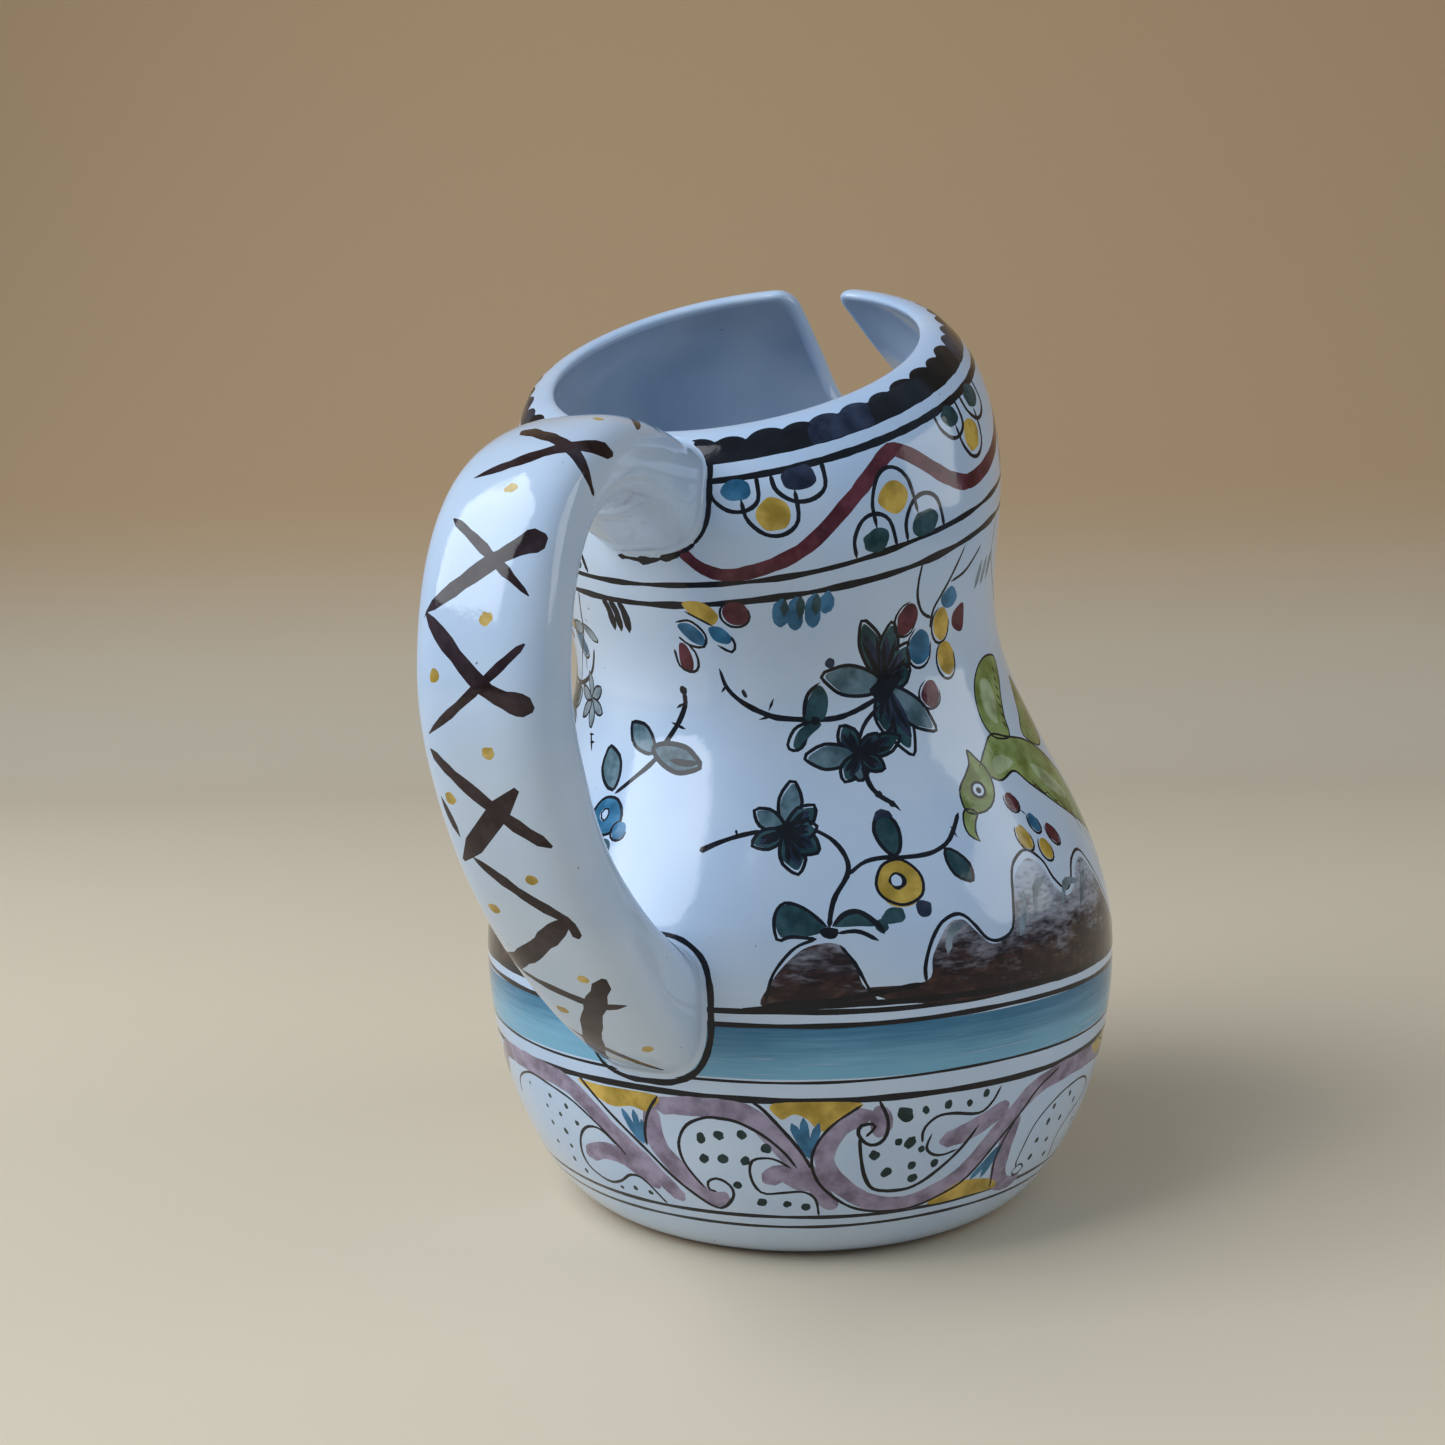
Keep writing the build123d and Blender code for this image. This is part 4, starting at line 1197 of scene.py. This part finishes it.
    dots = ((211, 28, 0.7), (204, 27.5, 1.0), (199.5, 26.6, 1.1), (206, 25, 0.8), (202, 24.4, 1.0),
            (197.5, 23.8, 1.1), (202, 21, 1.1), (206, 21.6, 0.9), (202, 18, 1.0), (207, 17.5, 0.9),
            (203, 15, 1.0), (200.5, 13.2, 1.0), (191, 12.3, 0.9), (187.4, 13, 1.0), (184, 12.8, 1.0),
            (171.4, 26, 1.6), (168.3, 26.8, 1.8), (164.4, 27.2, 1.7), (160.6, 24.8, 1.8), (171.3, 22, 1.7),
            (168, 22.3, 1.8), (164.2, 22.2, 1.6), (166, 17.2, 1.6), (162, 13.8, 1.6), (157.5, 13.6, 1.5),
            (154.2, 13, 1.7), (138, 30.2, 2.6), (134.6, 30.6, 1.3), (130.6, 31, 1.4), (126.6, 30.6, 1.2),
            (123.4, 31.8, 1.3), (138.8, 25.2, 1.4), (136.8, 24.8, 2.0), (134.6, 23.2, 1.3),
            (142.8, 23, 1.8), (136, 20.2, 1.5), (131.7, 20, 1.5), (140.4, 19.4, 1.9), (135.4, 17.6, 1.9),
            (99, 25.6, 1.0), (104.4, 24.6, 1.1), (96, 23.4, 1.0), (105, 21.8, 1.2), (100.4, 21.2, 1.1),
            (107, 18.6, 1.2), (103, 17.6, 1.1), (107, 15.2, 1.2), (101, 14, 1.1), (82, 24, 1.2),
            (78, 20, 1.2), (84, 19, 1.1), (80, 15, 1.2), (74, 14.4, 1.1), (87, 14.6, 1.2), (91, 18, 1.1),
            (75, 18.4, 1.2), (56, 24.4, 1.4), (59, 26.4, 1.2), (55, 20.6, 1.2), (63, 27.6, 1.2),
            (54.4, 23, 1.1), (60, 23.4, 1.2))
    for a, h, size in dots:
        sheet.spot("dots", a + turn, h, size, size * sheet.chance.uniform(0.95, 1.35),
                sheet.chance.uniform(-40, 40), 0.12)


def paint_pads(sheet):
    """Outlines round the handle's two pads, on the body."""
    for end, first, last, width, shake in ((0.0, 0, 140, 1.0, 0.14), (0.0, 138, 205, 1.1, 0.75),
                                           (STRAP.length, -60, 190, 1.15, 0.14)):
        edge = pad_edge(end, first, last, 12, 0.35)
        sheet.line("ink", [(a % 360, h) for a, h in edge], width, (0.4, 0.5), shake)


def body_sheet():
    sheet = Sheet(outside, SEAM, 11)
    paint_lines(sheet)
    for turn in (0, -180):
        paint_frieze(sheet, turn)
    paint_collar(sheet)
    paint_far_side(sheet)
    paint_garden(sheet)
    paint_pads(sheet)
    return sheet


def handle_sheet():
    """Loose crossed strokes in brown-black, with ochre dabs between them."""
    sheet = Sheet(STRAP, None, 5)
    for width, ends, points in ((1.9, (0.3, 1.3), [(-22, 56), (24, 52), (74, 44)]),
                                (1.9, (1.2, 0.3), [(-14, 45), (30, 49), (64, 52), (96, 53)]),
                                (1.3, (1, 0.7), [(33, 29), (57, 34)]),
                                (1.1, (0.8, 0.8), [(36, 26), (52, 25)]),
                                (1.2, (0.6, 0.4), [(-26, 62), (12, 67), (45, 72)]),
                                (2.0, (0.4, 1.4), [(-38, 74), (15, 68), (52, 64)]),
                                (1.9, (0.7, 1.3), [(-38, 74), (12, 83), (50, 86)]),
                                (1.1, (0.5, 0.8), [(-38, 89), (12, 83), (44, 78)]),
                                (1.7, (0.6, 1.0), [(-40, 91), (-6, 97), (42, 105)]),
                                (2.4, (0.8, 1.2), [(-38, 108), (28, 96)]),
                                (1.0, (0.5, 0.5), [(-41, 98), (-32, 104)]),
                                (1.6, (0.5, 0.6), [(-26, 107), (2, 112), (30, 117), (33, 121)]),
                                (2.6, (0.8, 1.2), [(32, 117), (-10, 124), (-50, 130)]),
                                (1.5, (0.5, 0.6), [(-41, 130), (9, 136), (38, 137)]),
                                (2.8, (0.8, 1.1), [(34, 130), (-2, 142), (-33, 156)]),
                                (1.6, (0.4, 1.0), [(-32, 145), (24, 157)]),
                                (1.7, (0.8, 0.8), [(150, 60), (-170, 66)]),
                                (1.7, (0.8, 0.8), [(-170, 58), (150, 68)][::-1]),
                                (1.8, (0.5, 1.2), [(-74, 60), (-110, 70)]),
                                (1.6, (0.8, 0.5), [(-110, 60), (-70, 72)]),
                                (1.8, (0.5, 1.2), [(-70, 90), (-112, 100)]),
                                (1.6, (0.8, 0.5), [(-112, 88), (-68, 102)]),
                                (1.8, (0.5, 1.2), [(-72, 118), (-116, 128)]),
                                (1.5, (0.8, 0.5), [(-116, 116), (-70, 130)])):
        if abs(points[0][0] - points[-1][0]) < 200:
            sheet.line("brown_ink", points, width * 1.3, ends, 0.16)
    for turn, way in ((33, 39), (15, 58), (15, 75), (-27, 82), (12, 91), (-30, 98), (18, 110), (-27, 116),
            (18, 130), (-21, 139), (30, 149), (-80, 81), (-95, 110), (-60, 52)):
        sheet.spot("ochre", turn, way, sheet.chance.uniform(1.8, 2.3), sheet.chance.uniform(1.7, 2.0), 20,
                0.14)
    return sheet


# ---------------------------------------------------------------- finishes

class Value:
    """A socket that can be used in sums. Arithmetic on it adds Math nodes."""

    def __init__(self, tree, socket):
        self.tree, self.socket = tree, socket

    def math(self, operation, *values, clamp=False):
        node = self.tree.node("ShaderNodeMath", {"operation": operation, "use_clamp": clamp},
                              {i: value for i, value in enumerate(values)})
        return node(0)

    def __add__(self, other):
        return self.math("ADD", self, other)

    def __radd__(self, other):
        return self.math("ADD", other, self)

    def __sub__(self, other):
        return self.math("SUBTRACT", self, other)

    def __rsub__(self, other):
        return self.math("SUBTRACT", other, self)

    def __mul__(self, other):
        return self.math("MULTIPLY", self, other)

    def __rmul__(self, other):
        return self.math("MULTIPLY", other, self)

    def clamped(self):
        return self.math("ADD", self, 0.0, clamp=True)


class Tree:
    """A material's nodes."""

    def __init__(self, name):
        self.material = bpy.data.materials.new(name)
        self.material.use_nodes = True
        self.nodes, self.links = self.material.node_tree.nodes, self.material.node_tree.links
        self.nodes.clear()

    def node(self, kind, settings=None, sockets=None):
        """Adds a node: settings first, then values or links for its sockets. Returns a picker of outputs."""
        made = self.nodes.new(kind)
        for name, value in (settings or {}).items():
            setattr(made, name, value)
        for name, value in (sockets or {}).items():
            if isinstance(value, Value):
                self.links.new(value.socket, made.inputs[name])
            else:
                made.inputs[name].default_value = value
        return lambda output: Value(self, made.outputs[output])

    def place(self, stretch=(1, 1, 1)):
        """Where on the piece a point lies, in metres, stretched along each axis."""
        where = self.node("ShaderNodeTexCoord")("Object")
        return self.node("ShaderNodeMapping", {}, {"Vector": where, "Scale": stretch})("Vector")

    def noise(self, scale, detail=3.0, stretch=(1, 1, 1), shift=0.0):
        """Soft noise from 0 to 1. Scale is in features for each metre."""
        return self.node("ShaderNodeTexNoise", {"noise_dimensions": "4D"},
                         {"Vector": self.place(stretch), "W": shift, "Scale": scale, "Detail": detail})("Fac")

    def ramp(self, value, low, high):
        """0 below low, 1 above high, with a soft step between."""
        return self.node("ShaderNodeMapRange", {"interpolation_type": "SMOOTHSTEP"},
                         {"Value": value, "From Min": low, "From Max": high})("Result")

    def mix(self, factor, first, second):
        """A colour between two colours."""
        return self.node("ShaderNodeMix", {"data_type": "RGBA"}, {0: factor, 6: paint(first),
                7: paint(second)})(2)


def paint(colour):
    return colour if isinstance(colour, Value) else (*colour[:3], 1.0)


def glaze_coat(tree, colour, rough, relief, thick=None, shine=0.5):
    """The glassy coat over every colour: soft hollows in the glaze, fine pits and a clear shine."""
    swell = tree.noise(95, 2.0) * 0.55 + tree.noise(420, 2.0, shift=3.0) * 0.12 + tree.noise(1700, 1.0,
            shift=5.0) * 0.02
    if thick is not None:
        swell = swell + thick
    bump = tree.node("ShaderNodeBump", {}, {"Strength": 0.55, "Distance": relief, "Height": swell})("Normal")
    shader = tree.node("ShaderNodeBsdfPrincipled", {}, {
        "Base Color": colour, "Roughness": rough, "Specular IOR Level": shine, "Normal": bump})("BSDF")
    tree.node("ShaderNodeOutputMaterial", {}, {"Surface": shader})
    return tree.material


def white_glaze(tree, white, shade):
    """The tin glaze: white, bluish where it pooled, with a few specks from the kiln."""
    cloud = tree.ramp(tree.noise(26, 3.0), 0.34, 0.70)
    body = tree.mix(cloud, white, shade)
    dust = tree.ramp(tree.noise(190, 4.0, shift=7.0), 0.60, 0.82) * 0.16
    body = tree.mix(dust, body, (0.46, 0.50, 0.55))
    speck = tree.ramp(tree.noise(900, 1.0, shift=11.0), 0.775, 0.80) * 0.75
    return tree.mix(speck, body, (0.07, 0.05, 0.04))


def glaze_material(name, white, shade):
    tree = Tree(name)
    return glaze_coat(tree, white_glaze(tree, white, shade), tree.noise(60, 2.0) * 0.10 + 0.05, 0.0005)


def brush_material(name, colour, white, cover, grain, stretch=(1, 1, 1), streak=240):
    """Colour laid on by brush: thin where the brush ran dry, dark and smooth where it pooled."""
    tree = Tree(name)
    pool = tree.ramp(tree.noise(streak, 3.0, stretch, 2.0), 0.30, 0.68)
    bristle = tree.ramp(tree.noise(streak * 4, 2.0, stretch, 4.0), 0.25, 0.75)
    load = (pool * 0.7 + bristle * 0.3) * grain + (cover - grain)
    rich = tree.mix(pool, tuple(min(1.0, c * 1.25) for c in colour), tuple(c * 0.62 for c in colour))
    shown = tree.mix(load.clamped(), white, rich)
    return glaze_coat(tree, shown, 0.13 - pool * 0.06, 0.0005, pool * 0.05, 0.3)


def earth_material(name, colour, white):
    """The hills: dry brush, dense near the ground line and thin towards the top."""
    tree = Tree(name)
    height = tree.node("ShaderNodeSeparateXYZ", {}, {"Vector": tree.place()})("Z")
    fade = tree.ramp(height, 0.046, 0.068)
    streaks = tree.noise(150, 4.0, (1, 1, 2.6), 1.0)
    fine = tree.noise(560, 3.0, (1, 1, 3.2), 6.0)
    load = tree.ramp(streaks * 0.6 + fine * 0.4 - fade * 0.36, 0.10, 0.40)
    rich = tree.mix(tree.ramp(tree.noise(240, 2.0, (1, 1, 2), 9.0), 0.45, 0.75), colour,
                    (0.075, 0.035, 0.030))
    thin = tree.ramp(height, 0.054, 0.075) * -0.62 + 0.72
    shown = tree.mix(load, tree.mix(thin, white, (0.15, 0.10, 0.11)), rich)
    return glaze_coat(tree, shown, 0.12, 0.0005, shine=0.3)


def band_material(name, dark, pale, white):
    """The blue band, pulled round the turning pot with a dry, wide brush."""
    tree = Tree(name)
    height = tree.node("ShaderNodeSeparateXYZ", {}, {"Vector": tree.place()})("Z")
    climb = tree.ramp(height, 0.0375, 0.0465)
    streaks = tree.noise(30, 5.0, (1, 1, 22), 1.0)
    fine = tree.noise(70, 3.0, (1, 1, 34), 5.0)
    patchy = tree.noise(45, 2.0, shift=8.0)
    load = streaks * 0.55 + fine * 0.3 + patchy * 0.35 + climb * 0.42 - 0.42
    blue = tree.mix(tree.ramp(load, 0.12, 0.72), pale, dark)
    bare = tree.ramp(fine * 0.6 + streaks * 0.4 - climb * 0.08, 0.52, 0.66)
    return glaze_coat(tree, tree.mix(bare * 0.42, blue, white), 0.12, 0.0005, streaks * 0.05)


def bisque_material(name, colour):
    """The bare clay of the standing ring."""
    tree = Tree(name)
    grain = tree.noise(700, 4.0)
    shown = tree.mix(grain, colour, tuple(c * 0.7 for c in colour))
    bump = tree.node("ShaderNodeBump", {}, {"Strength": 0.5, "Distance": 0.0004, "Height": grain})("Normal")
    shader = tree.node("ShaderNodeBsdfPrincipled", {}, {"Base Color": shown, "Roughness": grain * 0.2 + 0.65,
                                                        "Normal": bump})("BSDF")
    tree.node("ShaderNodeOutputMaterial", {}, {"Surface": shader})
    return tree.material


def body_materials(look):
    """One finish for each name in PAINTS, in their order."""
    white, shade = tuple(look.white), tuple(look.shade)
    made = {"glaze": glaze_material("pitcher_glaze", white, shade),
            # the inside glaze is the white and pooled glaze darkened: painted shade inside the pitcher
            "inside_shade": glaze_material("pitcher_lining", tuple(c * 0.84 for c in white),
            tuple(c * 0.80 for c in shade)), "earth": earth_material("pitcher_earth", look.earth, white),
            "band": band_material("pitcher_band", look.band, look.band_pale, white),
            "bisque": bisque_material("pitcher_bisque", look.bisque)}
    brushes = {"ink": (look.ink, 1.0, 0.0), "navy": ((0.008, 0.014, 0.040), 1.0, 0.04),
               "leaf": (look.leaf, 1.0, 0.06), "wash": ((0.012, 0.075, 0.095), 0.96, 0.22),
               "blue": (look.blue, 1.0, 0.09), "ochre": (look.ochre, 1.0, 0.10),
               "maroon": (look.maroon, 1.0, 0.04), "olive": (look.olive, 1.0, 0.14),
               "pale_olive": ((0.32, 0.38, 0.12), 0.95, 0.25), "scroll": (look.scroll, 1.0, 0.22),
               "grey": ((0.060, 0.095, 0.100), 0.92, 0.34), "dots": ((0.006, 0.026, 0.028), 1.0, 0.02)}
    for name, (colour, cover, grain) in brushes.items():
        made[name] = brush_material("pitcher_" + name, tuple(colour), white, cover, grain)
    return [made[name] for name in PAINTS]


def strap_materials(look):
    white = tuple(look.white)
    return [glaze_material("handle_glaze", white, tuple(look.shade)),
            brush_material("handle_ink", tuple(look.strap_ink), white, 1.0, 0.03),
            brush_material("handle_ochre", tuple(look.ochre), white, 1.0, 0.18)]


# ---------------------------------------------------------------- objects

def piece_from(clay, name, node, slot, materials):
    """Makes the object of one finished piece, at the origin, and hands it to the frame."""
    mesh = bpy.data.meshes.new(name)
    mesh.from_pydata(clay.corners, [], clay.faces)
    for material in materials:
        mesh.materials.append(material)
    mesh.polygons.foreach_set("material_index", clay.paints)
    mesh.polygons.foreach_set("use_smooth", [True] * len(clay.faces))
    mesh.normals_split_custom_set_from_vertices(clay.normals)
    mesh.update()
    made = bpy.data.objects.new(name, mesh)
    bpy.context.scene.collection.objects.link(made)
    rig.replaces(made, node)
    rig.ride(made, "root")
    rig.slot(made, slot)
    return made


def colour_property(name, description, default):
    return FloatVectorProperty(name=name, description=description, default=default, size=3, min=0.0,
            max=1.0, subtype="COLOR")


class PitcherLook(bpy.types.PropertyGroup):
    white: colour_property("White glaze", "Colour of the tin glaze", (0.56, 0.655, 0.785))
    shade: colour_property("Pooled glaze", "Colour where the glaze ran thick", (0.44, 0.565, 0.755))
    ink: colour_property("Pen ink", "Colour of the drawn lines", (0.008, 0.008, 0.012))
    leaf: colour_property("Leaf", "Colour of leaves and dark petals", (0.006, 0.046, 0.054))
    blue: colour_property("Blue", "Colour of the blue berries and flowers", (0.012, 0.135, 0.27))
    ochre: colour_property("Ochre", "Colour of the yellow berries and dabs", (0.52, 0.33, 0.022))
    maroon: colour_property("Maroon", "Colour of the wave and the red berries", (0.095, 0.008, 0.017))
    olive: colour_property("Olive", "Colour of the birds", (0.20, 0.26, 0.035))
    scroll: colour_property("Scroll", "Colour of the scrolls round the foot", (0.26, 0.19, 0.285))
    earth: colour_property("Earth", "Colour of the hills", (0.022, 0.012, 0.013))
    band: colour_property("Band", "Colour of the band where the brush was full", (0.012, 0.135, 0.26))
    band_pale: colour_property("Pale band", "Colour of the band where the brush ran dry", (0.17, 0.40, 0.56))
    bisque: colour_property("Bare clay", "Colour of the unglazed standing ring", (0.52, 0.36, 0.24))
    strap_ink: colour_property("Handle ink", "Colour of the strokes on the handle", (0.020, 0.005, 0.006))


class StageLook(bpy.types.PropertyGroup):
    floor: colour_property("Floor", "Colour of the floor", (0.76, 0.64, 0.48))
    wall: colour_property("Backdrop", "Colour of the backdrop above the floor", (0.60, 0.385, 0.205))
    key: FloatProperty(name="Window light", description="Power of the large light", default=13.0, min=0.0,
            unit="POWER")
    fill: FloatProperty(name="Fill light", description="Power of the light from the other side",
            default=3.2, min=0.0, unit="POWER")
    sky: FloatProperty(name="Room light", description="Strength of the light from all round", default=0.40,
            min=0.0)


def failing(operator, build):
    """Runs a builder, and turns a failure into the operator's error."""
    try:
        build()
    except Exception as error:
        operator.report({"ERROR"}, str(error))
        raise
    return {"FINISHED"}


class PITCHER_OT_body(bpy.types.Operator):
    """Make the thrown body with its painted decoration"""
    bl_idname = "pitcher.make_body"
    bl_label = "Make body"

    def execute(self, context):
        def build():
            look = context.scene.pitcher_look
            piece_from(body_mesh(body_sheet()), "painted_body", "pitcher_body", "glazed_body",
                    body_materials(look))
        return failing(self, build)


class PITCHER_OT_handle(bpy.types.Operator):
    """Make the strap handle with its crossed strokes"""
    bl_idname = "pitcher.make_handle"
    bl_label = "Make handle"

    def execute(self, context):
        def build():
            look = context.scene.pitcher_look
            piece_from(handle_mesh(handle_sheet()), "painted_handle", "handle", "glazed_handle",
                    strap_materials(look))
        return failing(self, build)


class PITCHER_OT_stage(bpy.types.Operator):
    """Make the floor with its swept backdrop, the lights and the camera"""
    bl_idname = "pitcher.make_stage"
    bl_label = "Make stage"

    def execute(self, context):
        return failing(self, lambda: make_stage(context.scene.pitcher_stage))


class PITCHER_PT_panel(bpy.types.Panel):
    """Lists what can be made"""
    bl_idname = "PITCHER_PT_panel"
    bl_label = "Painted pitcher"
    bl_space_type = "VIEW_3D"
    bl_region_type = "UI"
    bl_category = "Pitcher"

    def draw(self, context):
        for title, group in (("Glaze and colours", context.scene.pitcher_look), ("Stage",
                context.scene.pitcher_stage)):
            box = self.layout.box()
            box.label(text=title)
            for name in group.__annotations__:
                box.prop(group, name)
        for operator in OPERATORS:
            self.layout.operator(operator.bl_idname)


# ---------------------------------------------------------------- stage

CAMERA_PLACE = (0.0, -309.6, 118.0)           # millimetres, before the pitcher is turned towards it
CAMERA_PITCH, CAMERA_YAW, CAMERA_ROLL = 0.0867, -0.0464, -0.0188
CAMERA_LENS = 38.6
PITCHER_TURN = 65.0                           # degrees from the camera's frame to the pitcher's


def towards_pitcher(vector):
    """A direction or place in the camera's frame, in the pitcher's frame."""
    c, s = cos(radians(PITCHER_TURN)), sin(radians(PITCHER_TURN))
    return Vector((s * vector[0] - c * vector[1], c * vector[0] + s * vector[1], vector[2]))


def add_light(name, kind, place, aim, size, power, colour):
    """A rectangular soft light, in the camera's frame, in metres."""
    lamp = bpy.data.lights.new(name, kind)
    lamp.shape, lamp.size, lamp.size_y = "RECTANGLE", size[0], size[1]
    lamp.energy, lamp.color = power, colour
    made = bpy.data.objects.new(name, lamp)
    bpy.context.scene.collection.objects.link(made)
    place, aim = towards_pitcher(place), towards_pitcher(aim)
    made.location = place
    made.rotation_euler = (aim - place).to_track_quat("-Z", "Y").to_euler()
    return made


def stage_material(floor, wall):
    tree = Tree("stage_paper")
    height = tree.node("ShaderNodeSeparateXYZ", {}, {"Vector": tree.place()})("Z")
    ground = tree.mix(tree.noise(9, 3.0) * 0.3, tuple(floor), tuple(c * 0.9 for c in floor))
    shown = tree.mix(tree.ramp(height, -0.01, 0.22), ground, tuple(wall))
    shader = tree.node("ShaderNodeBsdfPrincipled", {}, {"Base Color": shown, "Roughness": 0.72})("BSDF")
    tree.node("ShaderNodeOutputMaterial", {}, {"Surface": shader})
    return tree.material


def make_stage(look):
    """A floor that sweeps up into a backdrop, far enough behind to stay soft."""
    bpy.ops.object.select_all(action="DESELECT")
    bpy.ops.mesh.primitive_plane_add(size=1.0, location=(0, -1.0, -0.0004))
    floor = bpy.context.active_object
    floor.name = "stage_floor"
    floor.scale = (9.0, 4.6, 1.0)
    bpy.ops.object.transform_apply(location=True, rotation=True, scale=True)
    bpy.ops.object.mode_set(mode="EDIT")
    bpy.ops.mesh.select_all(action="DESELECT")
    bpy.ops.object.mode_set(mode="OBJECT")
    for edge in floor.data.edges:
        edge.select = all(floor.data.vertices[i].co.y > 0 for i in edge.vertices)
    bpy.ops.object.mode_set(mode="EDIT")
    bpy.ops.mesh.extrude_region_move(TRANSFORM_OT_translate={"value": (0, 0, 4.0)})
    bpy.ops.mesh.select_all(action="DESELECT")
    bpy.ops.object.mode_set(mode="OBJECT")
    for edge in floor.data.edges:
        ends = [floor.data.vertices[i].co for i in edge.vertices]
        edge.select = all(end.y > 0 and end.z < 1 for end in ends)
    bpy.ops.object.mode_set(mode="EDIT")
    bpy.ops.mesh.bevel(offset=0.7, segments=32)
    bpy.ops.mesh.faces_shade_smooth()
    bpy.ops.object.mode_set(mode="OBJECT")
    floor.rotation_euler.z = radians(90 - PITCHER_TURN)
    bpy.ops.object.transform_apply(location=True, rotation=True, scale=True)
    floor.data.materials.append(stage_material(look.floor, look.wall))
    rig.stage(floor)
    bpy.context.scene.view_settings.view_transform = "Standard"
    world = bpy.data.worlds.new("room")
    world.use_nodes = True
    sky = world.node_tree.nodes["Background"]
    sky.inputs["Color"].default_value = (0.55, 0.76, 1.0, 1.0)
    sky.inputs["Strength"].default_value = look.sky
    bpy.context.scene.world = world
    add_light("window", "AREA", (-0.75, -0.35, 0.85), (0, 0, 0.08), (0.80, 1.05), look.key, (0.88, 0.94, 1.0))
    add_light("fill", "AREA", (1.25, -0.05, 0.60), (0, 0, 0.08), (0.7, 0.7), look.fill, (1.0, 0.96, 0.90))
    lens = bpy.data.cameras.new("camera")
    lens.lens, lens.sensor_width = CAMERA_LENS, 36.0
    lens.clip_start, lens.clip_end = 0.01, 50.0
    camera = bpy.data.objects.new("camera", lens)
    bpy.context.scene.collection.objects.link(camera)
    ahead = Vector((sin(CAMERA_YAW) * cos(CAMERA_PITCH), cos(CAMERA_YAW) * cos(CAMERA_PITCH),
            -sin(CAMERA_PITCH)))
    right = Vector((cos(CAMERA_YAW), -sin(CAMERA_YAW), 0))
    up = right.cross(ahead)
    side = right * cos(CAMERA_ROLL) + up * sin(CAMERA_ROLL)
    top = up * cos(CAMERA_ROLL) - right * sin(CAMERA_ROLL)
    axes = [towards_pitcher(v) for v in (side, top, -ahead)]
    turn = Matrix([[axis[row] for axis in axes] for row in range(3)]).to_4x4()
    camera.matrix_world = Matrix.Translation(towards_pitcher(CAMERA_PLACE) * MM) @ turn
    bpy.context.scene.camera = camera


OPERATORS = (PITCHER_OT_body, PITCHER_OT_handle, PITCHER_OT_stage)
CLASSES = (PitcherLook, StageLook, *OPERATORS, PITCHER_PT_panel)


def register():
    for made in CLASSES:
        bpy.utils.register_class(made)
    bpy.types.Scene.pitcher_look = PointerProperty(type=PitcherLook)
    bpy.types.Scene.pitcher_stage = PointerProperty(type=StageLook)


def unregister():
    del bpy.types.Scene.pitcher_stage
    del bpy.types.Scene.pitcher_look
    for made in reversed(CLASSES):
        bpy.utils.unregister_class(made)


def main():
    register()
    bpy.ops.pitcher.make_body()
    bpy.ops.pitcher.make_handle()
    bpy.ops.pitcher.make_stage()
    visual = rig.bounds()
    with open("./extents.json", "w") as out:
        json.dump({"cad": [list(corner) for corner in CAD_BOX],
                "visual": [list(corner) for corner in visual]}, out)


if __name__ == "__main__":
    main()
